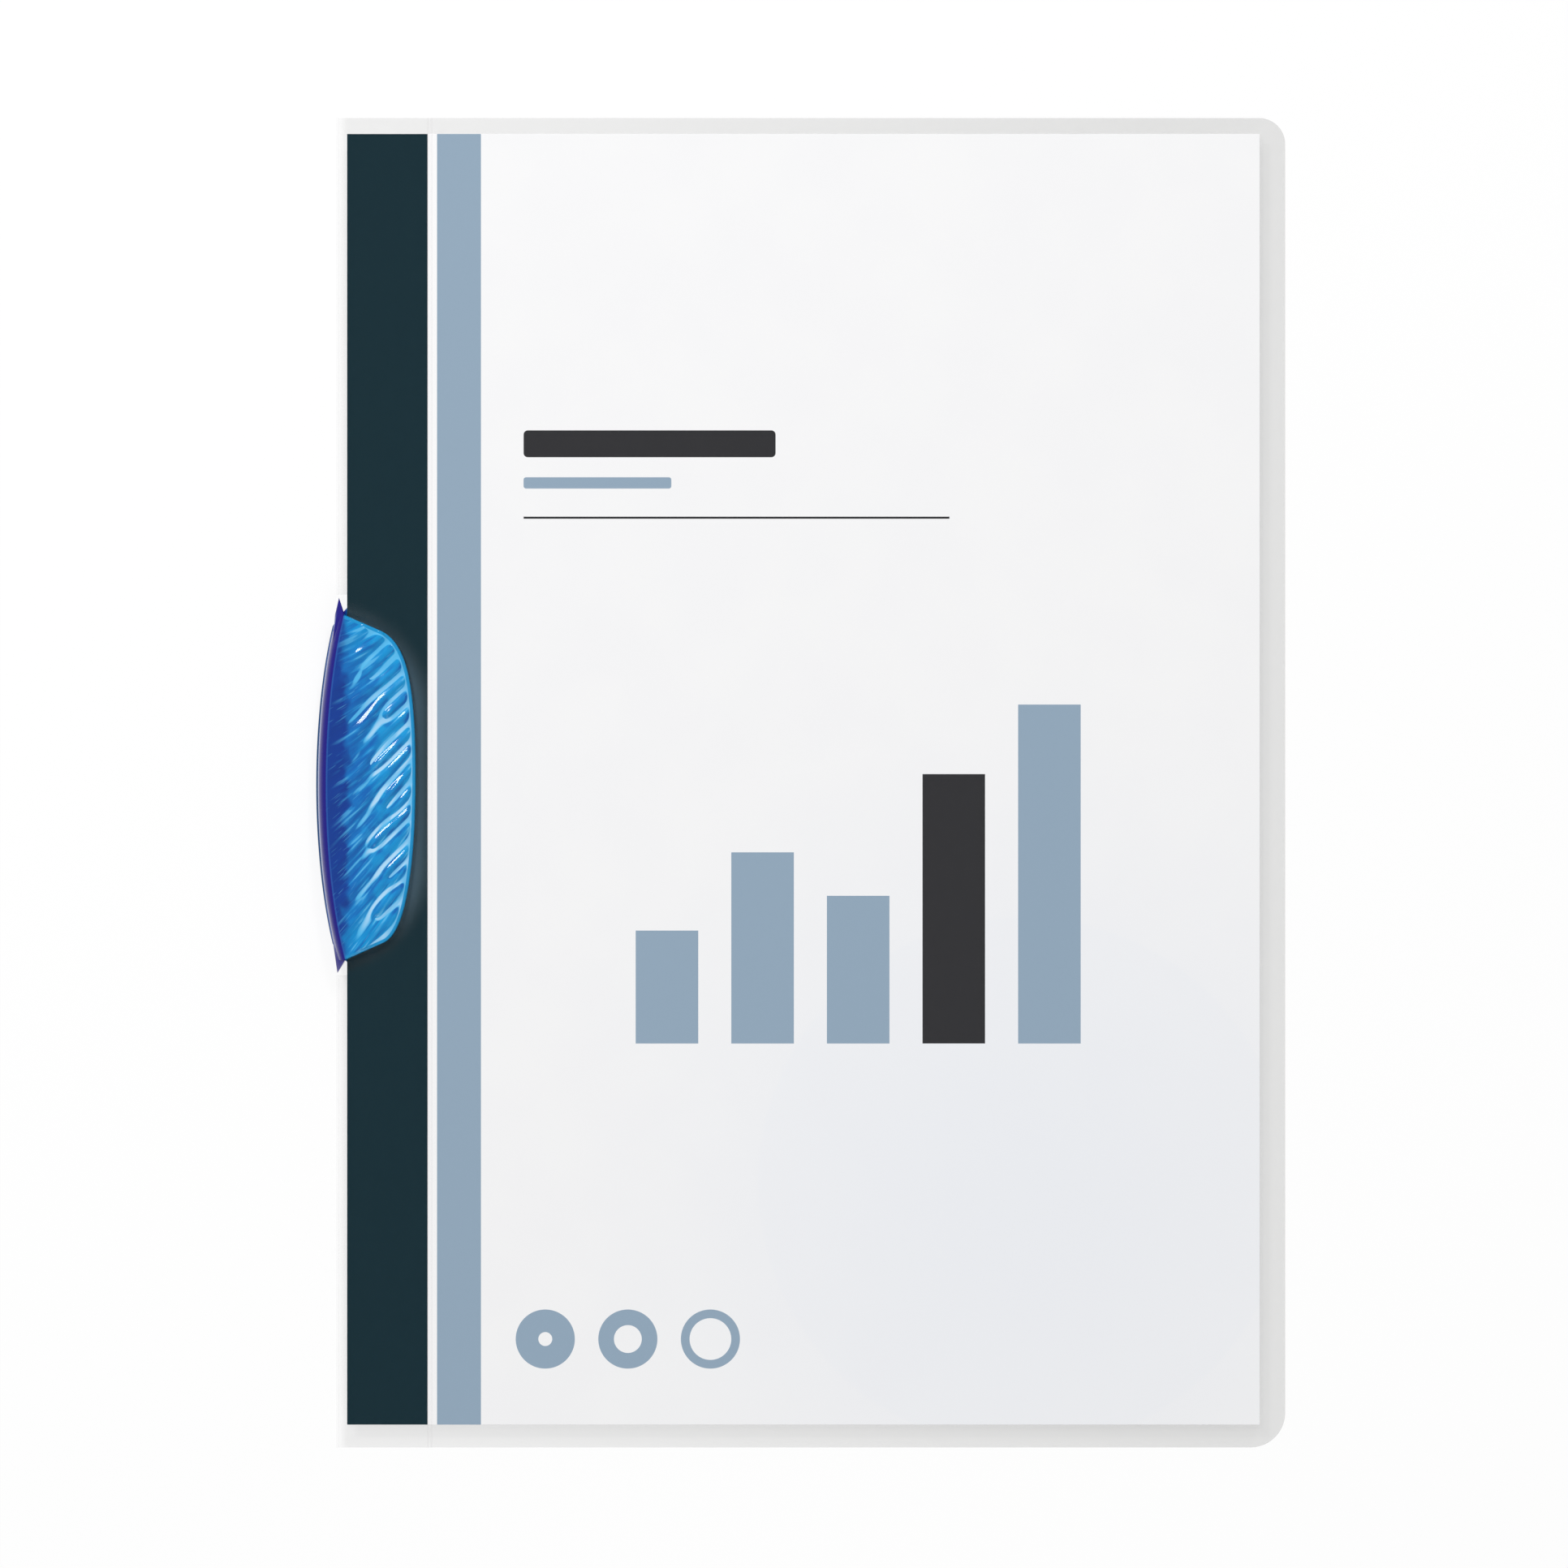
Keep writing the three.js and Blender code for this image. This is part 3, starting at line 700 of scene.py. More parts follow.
def fine_grain_group():
    """A faint grain that moulded plastic, film and coated paper share, as a normal."""
    name = "Fine grain"
    if name in bpy.data.node_groups:
        return bpy.data.node_groups[name]
    tree = bpy.data.node_groups.new(name, "ShaderNodeTree")
    face = tree.interface
    face.new_socket("Vector", in_out="INPUT", socket_type="NodeSocketVector")
    face.new_socket("Scale", in_out="INPUT", socket_type="NodeSocketFloat")
    face.new_socket("Depth", in_out="INPUT", socket_type="NodeSocketFloat")
    face.new_socket("Normal", in_out="OUTPUT", socket_type="NodeSocketVector")
    nodes = NodeTree(tree)
    inside = nodes.add("NodeGroupInput")
    grain = nodes.noise(inside.outputs["Vector"], inside.outputs["Scale"], 1.0)
    bump = nodes.add(
        "ShaderNodeBump", {"Strength": 1.0, "Distance": inside.outputs["Depth"], "Height": grain}
    )
    nodes.add("NodeGroupOutput", {"Normal": bump.outputs["Normal"]})
    return tree


def rounded_shape_group():
    """A rounded box as a mask: 1 inside, 0 outside. A corner as large as the half size makes a disc."""
    name = "Rounded shape"
    if name in bpy.data.node_groups:
        return bpy.data.node_groups[name]
    tree = bpy.data.node_groups.new(name, "ShaderNodeTree")
    face = tree.interface
    face.new_socket("Vector", in_out="INPUT", socket_type="NodeSocketVector")
    face.new_socket("Centre", in_out="INPUT", socket_type="NodeSocketVector")
    face.new_socket("Half size", in_out="INPUT", socket_type="NodeSocketVector")
    face.new_socket("Corner", in_out="INPUT", socket_type="NodeSocketFloat")
    face.new_socket("Softness", in_out="INPUT", socket_type="NodeSocketFloat")
    face.new_socket("Mask", in_out="OUTPUT", socket_type="NodeSocketFloat")
    nodes = NodeTree(tree)
    inside = nodes.add("NodeGroupInput")
    offset = nodes.vector("SUBTRACT", inside.outputs["Vector"], inside.outputs["Centre"])
    flat = nodes.vector("MULTIPLY", nodes.vector("ABSOLUTE", offset), (1.0, 1.0, 0.0))
    past = nodes.vector("SUBTRACT", flat, inside.outputs["Half size"])
    corner = nodes.add(
        "ShaderNodeCombineXYZ", {"X": inside.outputs["Corner"], "Y": inside.outputs["Corner"], "Z": 0.0}
    )
    past = nodes.vector("ADD", past, corner.outputs["Vector"])
    reach = nodes.vector("LENGTH", nodes.vector("MAXIMUM", past, (0.0, 0.0, 0.0)))
    axes = nodes.add("ShaderNodeSeparateXYZ", {"Vector": past})
    deep = nodes.math("MINIMUM", nodes.math("MAXIMUM", axes.outputs["X"], axes.outputs["Y"]), 0.0)
    distance = nodes.math("SUBTRACT", nodes.math("ADD", reach, deep), inside.outputs["Corner"])
    spread = nodes.math("DIVIDE", distance, inside.outputs["Softness"])
    nodes.add("NodeGroupOutput", {"Mask": nodes.ramp(spread, 0.5, -0.5)})
    return tree


def add_grain(nodes, vector, scale, depth):
    """Places the shared grain in a material and gives its normal."""
    inputs = {"Vector": vector, "Scale": scale, "Depth": depth}
    return nodes.add("ShaderNodeGroup", inputs, node_tree=fine_grain_group()).outputs["Normal"]


def rounded_shape(nodes, vector, centre, half_size, corner, softness):
    """Places a rounded shape in a material and gives its mask. Its centre is from spine and middle."""
    inputs = {
        "Vector": vector,
        "Centre": (SPINE_X + centre[0], centre[1], 0.0),
        "Half size": (*half_size, 0.0),
        "Corner": corner,
        "Softness": softness,
    }
    return nodes.add("ShaderNodeGroup", inputs, node_tree=rounded_shape_group()).outputs["Mask"]


class ClipFinish:
    """The clip's colours, each laid over the last.

    A ramp has two ends and may have the shares that it gives at them. Ends named for the spine or
    the middle are in metres, those for the root and the rim in millimetres, and the rest are levels.
    """

    CLOUD_SCALE = 300.0
    CLOUD_WOBBLE = 5 * MM
    # Rates along and across the flow, and through it, per millimetre.
    BROAD_STRETCH = (0.075, 0.62, 1.0)
    FINE_STRETCH = (0.15, 1.9, 1.0)
    PATCH_STRETCH = (0.1, 0.34, 1.0)

    THICK_FROM_SPINE = (1.2 * MM, 3.4 * MM)
    CLEAR_FROM_SPINE = (4 * MM, 12 * MM)
    CLEAR_CLOUDS = (0.3, 0.58)
    END_FROM_MIDDLE = (24 * MM, 38 * MM, 0.0, 0.9)
    END_FROM_SPINE = (0.0, 5 * MM)

    STREAKS_FROM_SPINE = (-2 * MM, 6 * MM)
    DEEP_STREAKS = (0.5, 0.34, 0.0, 0.6)
    # The light, lightest and fine streaks are painted light refracted in the plastic.
    GLOW_STREAKS = (0.55, 0.6, 0.0, 0.5)
    SPARK_GLOW_STREAKS = (0.62, 0.67, 0.0, 0.65)
    FINE_FROM_SPINE = (-4 * MM, 1 * MM)
    FINE_GLOW_STREAKS = (0.64, 0.72, 0.0, 0.3)

    CROWN_FROM_SPINE = (7 * MM, 11 * MM)
    CROWNS = (0.4, 0.05, 0.0, 0.7)
    # The grooves' pale colours are painted light gathered in the plastic; these give where they lie.
    GROOVE_WANDER = 14 * MM
    GROOVE_FROM_SPINE = (11 * MM, 2 * MM, 0.79, 1.08)
    GROOVE_GLOW = (-0.05, 0.05, 0.0, 0.85)
    RIM_INSIDE = (0.6, 0.85)
    PALE_GLOW = (0.02, 0.16)
    PALE_PATCHES = (0.36, 0.56, 0.3, 0.85)
    PALE_FROM_MIDDLE = (34 * MM, 0.0, 0.1, 1.0)
    PALE_FROM_SPINE = (4 * MM, 9 * MM)
    PALE_FROM_RIM = (0.9, 2.2, 0.6, 1.0)
    RIM_OUTSIDE = (0.85, 0.6)
    SEAM_FROM_ROOT = (0.55, 0.35, 0.0, 0.6)

    # Where the painted highlight line lies on the web, in mm from the root.
    WEB_HIGHLIGHT_FROM_ROOT = (-1.65, -1.4)
    WEB_EDGE_FROM_ROOT = (-2.0, -1.8)
    WEB_PLAIN_FROM_MIDDLE = (35 * MM, 40 * MM)
    JAW_FROM_ROOT = (0.0, 0.2)

    def __init__(self, nodes, coordinates, settings):
        self.nodes = nodes
        self.s = settings
        self.groove, self.from_root, self.from_rim, self.on_jaw = (
            nodes.add("ShaderNodeAttribute", attribute_name=name).outputs["Fac"] for name in CLIP_MARKS
        )
        self.flow = nodes.add("ShaderNodeAttribute", attribute_name="flow").outputs["Vector"]
        axes = nodes.add("ShaderNodeSeparateXYZ", {"Vector": coordinates})
        self.from_spine = nodes.math("SUBTRACT", axes.outputs["X"], SPINE_X)
        self.up = axes.outputs["Y"]
        self.from_middle = nodes.math("ABSOLUTE", self.up)
        self.clouds = nodes.noise(coordinates, self.CLOUD_SCALE, 1.0)
        self.patches = self.streaks(self.PATCH_STRETCH, 0.0)
        self.wobbly = self.wander(self.clouds, self.CLOUD_WOBBLE)

    def streaks(self, stretch, detail):
        """Noise that is drawn out along the flow."""
        return self.nodes.noise(self.nodes.vector("MULTIPLY", self.flow, stretch), 1.0, detail)

    def wander(self, noise, width):
        """The way from the spine, with a noise that moves it to and fro."""
        return self.nodes.math(
            "ADD", self.from_spine, self.nodes.times(self.nodes.math("SUBTRACT", noise, 0.5), width)
        )

    def plain_body(self):
        """Deep blue where the web backs the jaw, clearer away from it and at the ends."""
        nodes, s = self.nodes, self.s
        body = nodes.blend(nodes.ramp(self.wobbly, *self.THICK_FROM_SPINE), s.thick_colour, s.body_colour)
        clear = nodes.ramp(self.wobbly, *self.CLEAR_FROM_SPINE)
        clear = nodes.times(clear, nodes.ramp(self.clouds, *self.CLEAR_CLOUDS))
        body = nodes.blend(clear, body, s.clear_colour)
        ends = nodes.ramp(self.from_middle, *self.END_FROM_MIDDLE)
        ends = nodes.times(ends, nodes.ramp(self.wobbly, *self.END_FROM_SPINE))
        return nodes.blend(ends, body, s.end_colour)

    def with_streaks(self, body):
        """Dark streaks along the flow, and light streaks of painted light refracted in the plastic: three
        broad layers, then fine ones.
        """
        nodes, s = self.nodes, self.s
        broad, fine = self.streaks(self.BROAD_STRETCH, 1.0), self.streaks(self.FINE_STRETCH, 1.0)
        place = nodes.times(self.on_jaw, nodes.ramp(self.from_spine, *self.STREAKS_FROM_SPINE))
        for levels, tone in (
            (self.DEEP_STREAKS, s.deep_colour),
            # Light and lightest streaks are painted light refracted inside the clear plastic.
            (self.GLOW_STREAKS, s.streak_glow_colour),
            (self.SPARK_GLOW_STREAKS, s.spark_glow_colour),
        ):
            body = nodes.blend(nodes.times(nodes.ramp(broad, *levels), place), body, tone)
        place = nodes.times(self.on_jaw, nodes.ramp(self.from_spine, *self.FINE_FROM_SPINE))
        return nodes.blend(nodes.times(nodes.ramp(fine, *self.FINE_GLOW_STREAKS), place), body, s.spark_glow_colour)

    def with_ripples(self, body):
        """Clearer crowns, and pale grooves of painted light, gathered in the plastic, that narrow to
        points towards the spine.
        """
        nodes, s = self.nodes, self.s
        crown = nodes.times(self.on_jaw, nodes.ramp(self.groove, *self.CROWNS))
        crown = nodes.times(crown, nodes.ramp(self.from_spine, *self.CROWN_FROM_SPINE))
        body = nodes.blend(crown, body, s.crown_colour)
        limit = nodes.ramp(self.wander(self.patches, self.GROOVE_WANDER), *self.GROOVE_FROM_SPINE)
        past_limit = nodes.math("SUBTRACT", self.groove, limit)
        in_rim = nodes.times(self.on_jaw, nodes.ramp(self.from_rim, *self.RIM_INSIDE))
        # Painted light: the grooves are tinted lighter, and palest in patches, as light gathered in the
        # plastic.
        groove_glow_share = nodes.times(nodes.ramp(past_limit, *self.GROOVE_GLOW), in_rim)
        body = nodes.blend(groove_glow_share, body, s.groove_glow_colour)
        pale = nodes.times(
            nodes.ramp(past_limit, *self.PALE_GLOW),
            nodes.ramp(self.patches, *self.PALE_PATCHES),
            nodes.ramp(self.up, *self.PALE_FROM_MIDDLE),
            nodes.ramp(self.from_spine, *self.PALE_FROM_SPINE),
            nodes.ramp(self.from_rim, *self.PALE_FROM_RIM),
            in_rim,
        )
        return nodes.blend(pale, body, s.pale_colour)

    def with_borders(self, body):
        """The jaw's plain rim, and the paler seam beside the web."""
        nodes, s = self.nodes, self.s
        rim = nodes.times(self.on_jaw, nodes.ramp(self.from_rim, *self.RIM_OUTSIDE))
        body = nodes.blend(rim, body, s.rim_colour)
        seam = nodes.times(self.on_jaw, nodes.ramp(self.from_root, *self.SEAM_FROM_ROOT))
        return nodes.blend(seam, body, s.web_seam_colour)

    def web(self):
        """The smooth web, with a painted highlight line and a dark outer edge that end before its points.
        """
        nodes, s = self.nodes, self.s
        web = nodes.blend(
            nodes.ramp(self.from_root, *self.WEB_HIGHLIGHT_FROM_ROOT), s.web_highlight_colour, s.web_colour
        )
        web = nodes.blend(nodes.ramp(self.from_root, *self.WEB_EDGE_FROM_ROOT), s.web_edge_colour, web)
        return nodes.blend(nodes.ramp(self.from_middle, *self.WEB_PLAIN_FROM_MIDDLE), web, s.web_colour)


def clip_material(settings):
    """Polished blue plastic: deep blue where it is thick, streaked along its flow, with painted light in
    its light streaks and pale grooves.
    """
    material, nodes, output = new_material("Clip blue")
    coordinates = nodes.add("ShaderNodeTexCoord").outputs["Object"]
    finish = ClipFinish(nodes, coordinates, settings)
    body = finish.with_borders(finish.with_ripples(finish.with_streaks(finish.plain_body())))
    on_body = nodes.ramp(finish.from_root, *finish.JAW_FROM_ROOT)
    finish_with(nodes, output, {
        "Base Color": nodes.blend(on_body, finish.web(), body),
        "Roughness": 0.08,
        "IOR": 1.5,
        "Specular IOR Level": 0.2,
        "Normal": add_grain(nodes, coordinates, scale=900.0, depth=0.003 * MM),
    })
    return material


class FilmFinish:
    """The clear film's haze, which is its alpha, and its tint. Both carry painted shade at the back and
    the crease, and a painted sheen on the seat round the jaw. Lengths are in metres.
    """

    BACK_FROM_SPINE = (0.5 * MM, 2.6 * MM, 0.25, 1.0)
    CREASE_BESIDE_PANEL = 0.15 * MM
    # Half width and softness of the painted shade along the crease.
    CREASE_SHADE_EDGE = (0.72 * MM, 0.6 * MM)
    # Where the painted sheen on the seat round the jaw lies, in metres from the spine and the middle.
    SHEEN_CENTRE = (-4 * MM, -1 * MM)
    SHEEN_HALF_SIZE = (24.4 * MM, 41 * MM)
    SHEEN_CORNER = 24 * MM
    SHEEN_SOFTNESS = 7 * MM
    SLANT = (0.5, 1.0)

    def __init__(self, nodes, coordinates, settings):
        self.nodes = nodes
        self.s = settings
        axes = nodes.add("ShaderNodeSeparateXYZ", {"Vector": coordinates})
        self.from_spine = nodes.math("SUBTRACT", axes.outputs["X"], SPINE_X)
        self.in_front = nodes.ramp(axes.outputs["Z"], SHEET_LOW.z, SHEET_HIGH.z)
        crease_middle = FRONT_LOW.x - SPINE_X - self.CREASE_BESIDE_PANEL
        from_crease = nodes.math("ABSOLUTE", nodes.math("SUBTRACT", self.from_spine, crease_middle))
        # The tint laid along the crease is painted shade.
        self.crease = nodes.times(nodes.ramp(from_crease, *self.CREASE_SHADE_EDGE), self.in_front)
        # The seat round the jaw gets a painted sheen: a paler tint and more haze.
        seat = rounded_shape(
            nodes, coordinates, self.SHEEN_CENTRE, self.SHEEN_HALF_SIZE, self.SHEEN_CORNER, self.SHEEN_SOFTNESS
        )
        self.seat = nodes.times(seat, self.in_front)

    def alpha(self):
        """Hazier at the back, with painted shadow there that grows towards the front edge as painted
        shade, painted shade at the crease, a painted sheen on the seat, hazier at a slant, and nothing on
        inner faces.
        """
        nodes, s = self.nodes, self.s
        # The back film's haze holds painted shadow, and grows towards the front edge as painted shade.
        most = s.back_haze_and_shadow + s.back_shade_gain
        back = nodes.ramp(self.from_spine, 0.0, COVER_HIGH.x - SPINE_X, s.back_haze_and_shadow, most)
        back = nodes.times(back, nodes.ramp(self.from_spine, *self.BACK_FROM_SPINE))
        haze = nodes.add("ShaderNodeMix", {0: self.in_front, 2: back, 3: s.front_haze}).outputs[0]
        haze = nodes.math("ADD", haze, nodes.times(self.seat, s.seat_sheen_haze))
        haze = nodes.math("ADD", haze, nodes.times(self.crease, s.crease_shade_haze))
        slant = nodes.add("ShaderNodeLayerWeight", {"Blend": 0.5}).outputs["Facing"]
        haze = nodes.math("ADD", haze, nodes.ramp(slant, *self.SLANT, 0.0, s.slant_haze), clamp=True)
        backfacing = nodes.add("ShaderNodeNewGeometry").outputs["Backfacing"]
        return nodes.times(haze, nodes.math("SUBTRACT", 1.0, backfacing))

    def tint(self):
        # The seat's paler tint is a painted sheen.
        tint = self.nodes.blend(self.seat, self.s.haze_and_shade_colour, self.s.seat_sheen_colour)
        # The crease's grey-pink tint is painted shade.
        return self.nodes.blend(self.crease, tint, self.s.crease_shade_colour)


def film_material(settings):
    """Clear film: the back hazier than the front and darkened by painted shadow, with painted shade at the
    crease and a painted sheen on the seat round the jaw.
    """
    material, nodes, output = new_material("Clear film")
    coordinates = nodes.add("ShaderNodeTexCoord").outputs["Object"]
    finish = FilmFinish(nodes, coordinates, settings)
    finish_with(nodes, output, {
        "Base Color": finish.tint(),
        "Roughness": 0.25,
        "IOR": 1.49,
        "Alpha": finish.alpha(),
        "Normal": add_grain(nodes, coordinates, scale=2600.0, depth=0.006 * MM),
    })
    return material


class FOLDER_OT_dress_film(bpy.types.Operator):
    """Gives the folded cover and its front panel their clear film finish"""

    bl_idname = "folder.dress_film"
    bl_label = "Dress film"

    def execute(self, context):
        material = film_material(context.scene.folder_film)
        for name in ("folder_cover", "front_cover"):
            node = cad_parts[name]
            node.data.materials.clear()
            node.data.materials.append(material)
            node.visible_shadow = False
            node.visible_diffuse = False
        return {"FINISHED"}


def mix_colour(a, b, t):
    return tuple(mix(x, y, t) for x, y in zip(a, b))


class SheetPrint:
    """The title sheet's print: stripes, bars, rings and a chart, in metres from spine and middle."""

    DISC = (158 * MM, -92 * MM)
    DISC_RADIUS = 61 * MM
    DISC_SPREAD = 62 * MM
    DISC_GLOW = 0.75
    DISC_EDGE = 0.25
    # Each heading's centre, half size and corner, in millimetres.
    HEADINGS = (((72, 78), (29, 3.1), 1.0), ((60, 69), (17, 1.3), 0.6), ((92, 61), (49, 0.25), 0.0))
    CHART_LEFT = 65 * MM
    CHART_BASE = -60 * MM
    CHART_PITCH = 22 * MM
    CHART_HALF_BAR = 7.2 * MM
    CHART_HEIGHTS = (26 * MM, 44 * MM, 34 * MM, 62 * MM, 78 * MM)
    CHART_INKED_BAR = 3
    RINGS_LEFT = 38.5 * MM
    RINGS_Y = -128 * MM
    RINGS_PITCH = 19 * MM
    RING_RADIUS = 6.8 * MM
    RING_HOLE_STEP = 1.6 * MM
    RING_COUNT = 3
    CRISP = 0.12 * MM
    FIBRE_SCALE = 55.0
    FIBRE_LEVELS = (0.3, 0.7)
    FIBRE_COLOUR = (0.88, 0.88, 0.9)
    FIBRE_SHARE = 0.3

    def __init__(self, nodes, coordinates, settings):
        self.nodes = nodes
        self.s = settings
        self.coordinates = coordinates
        axes = nodes.add("ShaderNodeSeparateXYZ", {"Vector": coordinates})
        self.x = nodes.math("SUBTRACT", axes.outputs["X"], SPINE_X)
        self.y = axes.outputs["Y"]
        self.z = axes.outputs["Z"]

    def steps(self, position, stops):
        """A ramp of plain steps: each colour starts at its stop, from 0 to 1."""
        node = self.nodes.add("ShaderNodeValToRGB", {"Fac": position})
        node.color_ramp.interpolation = "CONSTANT"
        elements = node.color_ramp.elements
        while len(elements) < len(stops):
            elements.new(1.0)
        for element, (place, value) in zip(elements, stops):
            element.position = place
            element.color = value
        return node

    def between(self, value, low, high):
        """1 where a value lies between two others, 0 elsewhere."""
        above = self.nodes.math("GREATER_THAN", value, low)
        return self.nodes.math("MULTIPLY", above, self.nodes.math("LESS_THAN", value, high))

    def bare(self):
        """The bare paper, a little cloudy from its fibres."""
        paper = tuple(self.s.paper_colour)
        fibres = self.nodes.noise(self.coordinates, self.FIBRE_SCALE, 2.0)
        cloudy = mix_colour(paper, self.FIBRE_COLOUR, self.FIBRE_SHARE)
        return self.nodes.blend(self.nodes.ramp(fibres, *self.FIBRE_LEVELS), paper, cloudy)

    def disc(self, inked):
        """A large pale disc with a soft glow round it."""
        nodes = self.nodes
        centre = (SPINE_X + self.DISC[0], self.DISC[1], 0.0)
        offset = nodes.vector("SUBTRACT", self.coordinates, centre)
        away = nodes.vector("LENGTH", nodes.vector("MULTIPLY", offset, (1.0, 1.0, 0.0)))
        spread, crisp = self.DISC_SPREAD, self.CRISP / 2
        glow = nodes.ramp(away, self.DISC_RADIUS + spread, self.DISC_RADIUS - spread, 0.0, self.DISC_GLOW)
        inked = nodes.blend(glow, inked, self.s.pale_colour)
        edge = nodes.ramp(away, self.DISC_RADIUS + crisp, self.DISC_RADIUS - crisp, 0.0, self.DISC_EDGE)
        return nodes.blend(edge, inked, self.s.pale_colour)

    def headings(self, inked):
        """Two solid bars with a thin rule under them."""
        inks = (self.s.ink_colour, self.s.light_colour, self.s.ink_colour)
        for (centre, half, corner), ink in zip(self.HEADINGS, inks):
            centre, half = [v * MM for v in centre], [v * MM for v in half]
            bar = rounded_shape(self.nodes, self.coordinates, centre, half, corner * MM, self.CRISP)
            inked = self.nodes.blend(bar, inked, ink)
        return inked

    def chart(self, inked):
        """A row of bars of different heights on one base line."""
        nodes = self.nodes
        count = len(self.CHART_HEIGHTS)
        bars = nodes.math("DIVIDE", nodes.math("SUBTRACT", self.x, self.CHART_LEFT), self.CHART_PITCH)
        share_along = nodes.math("DIVIDE", bars, float(count), clamp=True)
        stops = [
            (index / count, (height, float(index == self.CHART_INKED_BAR), 0.0, 1.0))
            for index, height in enumerate(self.CHART_HEIGHTS)
        ]
        heights = self.steps(share_along, stops).outputs["Color"]
        chosen = nodes.add("ShaderNodeSeparateColor", {"Color": heights})
        from_middle = nodes.math("ABSOLUTE", nodes.math("SUBTRACT", nodes.math("FRACT", bars), 0.5))
        on_bar = nodes.math("LESS_THAN", from_middle, self.CHART_HALF_BAR / self.CHART_PITCH)
        rise = nodes.math("SUBTRACT", self.y, self.CHART_BASE)
        low = nodes.math("MULTIPLY", nodes.math("GREATER_THAN", rise, 0.0), on_bar)
        high = nodes.math("MULTIPLY", nodes.math("LESS_THAN", rise, chosen.outputs["Red"]), low)
        inside = self.between(bars, 0.0, float(count))
        ink = nodes.blend(chosen.outputs["Green"], self.s.light_colour, self.s.ink_colour)
        return nodes.blend(nodes.math("MULTIPLY", high, inside), inked, ink)

    def rings(self, inked):
        """A row of rings, each with a wider hole than the last."""
        nodes = self.nodes
        places = nodes.math("DIVIDE", nodes.math("SUBTRACT", self.x, self.RINGS_LEFT), self.RINGS_PITCH)
        from_middle = nodes.math("SUBTRACT", nodes.math("FRACT", places), 0.5)
        across = nodes.math("MULTIPLY", from_middle, self.RINGS_PITCH)
        up = nodes.math("SUBTRACT", self.y, self.RINGS_Y)
        flat = nodes.add("ShaderNodeCombineXYZ", {"X": across, "Y": up})
        away = nodes.vector("LENGTH", flat.outputs["Vector"])
        hole = nodes.math("MULTIPLY", nodes.math("CEIL", places), self.RING_HOLE_STEP)
        ring = self.between(away, hole, self.RING_RADIUS)
        inside = self.between(places, 0.0, float(self.RING_COUNT))
        return nodes.blend(nodes.math("MULTIPLY", ring, inside), inked, self.s.light_colour)

    def stripes(self, inked):
        """A dark and a light stripe along the spine, with a white gap between them.

        They fill the first half of a ramp, which is clear from there on.
        """
        left = SHEET_LOW.x - SPINE_X
        widths = (self.s.dark_stripe, self.s.stripe_gap, self.s.light_stripe)
        colours = (self.s.dark_colour, self.s.paper_colour, self.s.light_colour)
        total = sum(widths)
        past_left = self.nodes.math("SUBTRACT", self.x, left)
        position = self.nodes.math("DIVIDE", past_left, 2 * total, clamp=True)
        stops = []
        place = 0.0
        for width, tone in zip(widths, colours):
            stops.append((place, (*tone, 1.0)))
            place += width / total / 2
        stops.append((place, (0.0, 0.0, 0.0, 0.0)))
        node = self.steps(position, stops)
        return self.nodes.blend(node.outputs["Alpha"], inked, node.outputs["Color"])


def sheet_material(settings):
    """Coated paper with plain printed shapes on its upper face."""
    material, nodes, output = new_material("Printed paper")
    coordinates = nodes.add("ShaderNodeTexCoord").outputs["Object"]
    layout = SheetPrint(nodes, coordinates, settings)
    bare = layout.bare()
    inked = layout.stripes(layout.rings(layout.chart(layout.headings(layout.disc(bare)))))
    print_side = nodes.math("GREATER_THAN", layout.z, (SHEET_LOW.z + SHEET_HIGH.z) / 2)
    finish_with(nodes, output, {
        "Base Color": nodes.blend(print_side, bare, inked),
        "Roughness": 0.55,
        "Specular IOR Level": 0.08,
        "Normal": add_grain(nodes, coordinates, scale=1800.0, depth=0.005 * MM),
    })
    return material


class FOLDER_OT_make_title_sheet(bpy.types.Operator):
    """Makes the printed title sheet that lies between the covers"""

    EDGE_ROUND = 0.06 * MM

    bl_idname = "folder.make_title_sheet"
    bl_label = "Make title sheet"

    def execute(self, context):
        sheet = box("printed_sheet", SHEET_LOW, SHEET_HIGH)
        bevel = sheet.modifiers.new("Soft edge", "BEVEL")
        bevel.width = self.EDGE_ROUND
        bevel.segments = 2
        apply_modifiers(sheet)
        sheet.data.materials.append(sheet_material(context.scene.folder_sheet))
        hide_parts("title_sheet")
        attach(sheet, "folder")
        return {"FINISHED"}


WHITE = (1.0, 1.0, 1.0, 1.0)


def seen_directly(nodes):
    """1 for rays from the camera, or from the camera by way of metal or glass."""
    path = nodes.add("ShaderNodeLightPath")
    seen = nodes.math("MAXIMUM", path.outputs["Is Camera Ray"], path.outputs["Is Glossy Ray"])
    return nodes.math("MAXIMUM", seen, path.outputs["Is Transmission Ray"])


def floor_material():
    """A plain white floor that keeps a faint shadow."""
    lit_share, patch_scale, patch_tone = 0.2, 3.0, (0.97, 0.97, 0.97)
    material, nodes, output = new_material("Studio floor")
    coordinates = nodes.add("ShaderNodeTexCoord").outputs["Object"]
    tone = nodes.blend(nodes.noise(coordinates, patch_scale, 0.0), patch_tone, WHITE)
    shader = nodes.add(
        "ShaderNodeBsdfPrincipled", {"Base Color": tone, "Roughness": 0.9, "Specular IOR Level": 0.0}
    )
    glow = nodes.add("ShaderNodeEmission", {"Color": WHITE, "Strength": 1.0})
    even = nodes.math("MULTIPLY", seen_directly(nodes), 1 - lit_share)
    mixed = nodes.add("ShaderNodeMixShader", {0: even})
    nodes.tree.links.new(shader.outputs["BSDF"], mixed.inputs[1])
    nodes.tree.links.new(glow.outputs[0], mixed.inputs[2])
    nodes.tree.links.new(mixed.outputs[0], output.inputs["Surface"])
    return material


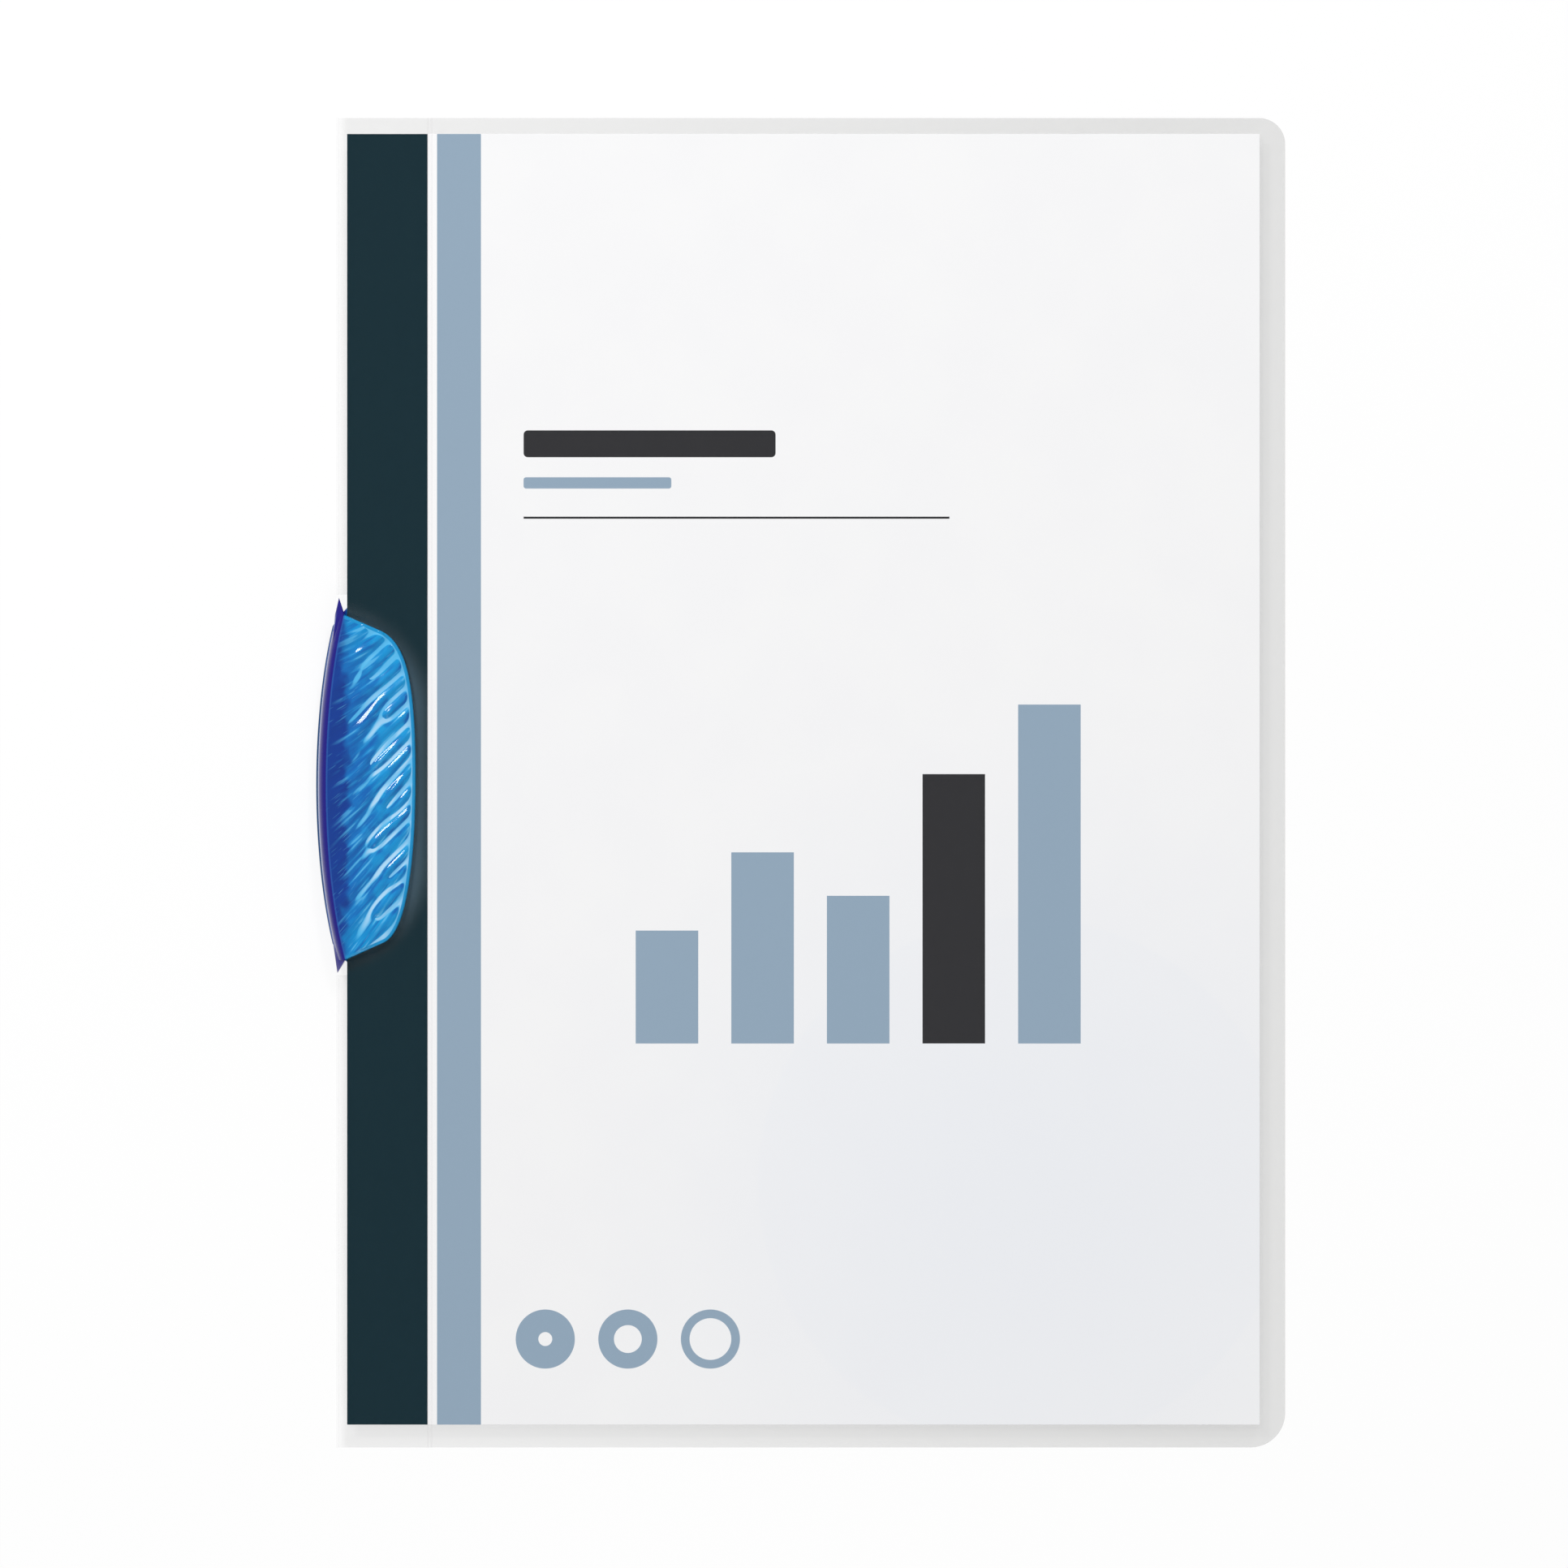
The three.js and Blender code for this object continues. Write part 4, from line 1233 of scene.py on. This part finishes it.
class FOLDER_OT_make_stage(bpy.types.Operator):
    """Sets up the floor, the lamps, the world and the camera"""

    bl_idname = "folder.make_stage"
    bl_label = "Make stage"

    # Each lamp's place and size in metres, and its power in watts.
    LAMPS = {
        "key_lamp": ((-0.98, 1.17, 1.47), (0.37, 0.37), 21.0),
        "top_lamp": ((0.48, 1.55, 1.28), (0.24, 0.24), 9.0),
        "fill_panel": ((0.26, -1.7, 1.7), (1.56, 0.65), 10.0),
    }
    # The height of the picture's centre and how far the camera sees, in metres.
    PICTURE_Y = -0.28 * MM
    CLIP_END = 20.0
    # The camera's sensor, in millimetres.
    SENSOR_WIDTH = 36.0

    def execute(self, context):
        settings = context.scene.folder_stage
        deselect()
        bpy.ops.mesh.primitive_plane_add(size=settings.floor_size, location=(0, 0, FLOOR_Z))
        floor = settle(bpy.context.object, "studio_floor")
        floor.data.materials.append(floor_material())
        for name, (place, size, power) in self.LAMPS.items():
            self.lamp(name, place, size, power)
        self.world(context, settings)
        self.camera(context, settings)
        context.scene.view_settings.view_transform = "Standard"
        return {"FINISHED"}

    def lamp(self, name, place, size, power):
        """A rectangular soft lamp that faces the folder's middle."""
        deselect()
        bpy.ops.object.light_add(type="AREA", location=place)
        lamp = bpy.context.object
        lamp.name = name
        lamp.data.shape = "RECTANGLE"
        lamp.data.size, lamp.data.size_y = size
        lamp.data.energy = power
        lamp.rotation_euler = Vector(place).to_track_quat("Z", "Y").to_euler()

    def world(self, context, settings):
        """Even white light, and white where the camera sees past the floor."""
        world = bpy.data.worlds.new("Studio")
        context.scene.world = world
        world.use_nodes = True
        world.node_tree.nodes.clear()
        nodes = NodeTree(world.node_tree)
        level = settings.world_strength
        lit = nodes.add("ShaderNodeBackground", {"Color": WHITE, "Strength": level})
        seen = nodes.add("ShaderNodeBackground", {"Color": WHITE, "Strength": 1.0})
        chosen = nodes.add("ShaderNodeMixShader", {0: seen_directly(nodes)})
        nodes.tree.links.new(lit.outputs[0], chosen.inputs[1])
        nodes.tree.links.new(seen.outputs[0], chosen.inputs[2])
        nodes.add("ShaderNodeOutputWorld", {"Surface": chosen.outputs[0]})

    def camera(self, context, settings):
        """A long lens that looks straight down, as the photograph does."""
        deselect()
        place = (SPINE_X + settings.centre_x, self.PICTURE_Y, FRONT_HIGH.z + settings.camera_height)
        bpy.ops.object.camera_add(location=place, rotation=(0, 0, 0))
        camera = bpy.context.object
        camera.name = "camera"
        camera.data.sensor_width = self.SENSOR_WIDTH
        camera.data.lens = self.SENSOR_WIDTH * settings.camera_height / settings.frame_width
        camera.data.clip_end = self.CLIP_END
        context.scene.camera = camera


class FOLDER_PT_panel(bpy.types.Panel):
    """Lists the folder's steps in the sidebar"""

    bl_label = "Clip folder"
    bl_idname = "FOLDER_PT_panel"
    bl_space_type = "VIEW_3D"
    bl_region_type = "UI"
    bl_category = "Folder"

    def draw(self, context):
        for operator in OPERATORS:
            self.layout.operator(operator.bl_idname)


OPERATORS = (FOLDER_OT_make_stage, FOLDER_OT_dress_film, FOLDER_OT_make_title_sheet, FOLDER_OT_make_clip)
SETTINGS = {
    "folder_clip": FolderClipSettings,
    "folder_film": FolderFilmSettings,
    "folder_sheet": FolderSheetSettings,
    "folder_stage": FolderStageSettings,
}
CLASSES = (*SETTINGS.values(), *OPERATORS, FOLDER_PT_panel)


def register():
    for cls in CLASSES:
        bpy.utils.register_class(cls)
    for name, cls in SETTINGS.items():
        setattr(bpy.types.Scene, name, PointerProperty(type=cls))


def unregister():
    for name in SETTINGS:
        delattr(bpy.types.Scene, name)
    for cls in reversed(CLASSES):
        bpy.utils.unregister_class(cls)


def main():
    register()
    bpy.ops.folder.make_stage()
    bpy.ops.folder.dress_film()
    bpy.ops.folder.make_title_sheet()
    bpy.ops.folder.make_clip()


if __name__ == "__main__":
    main()
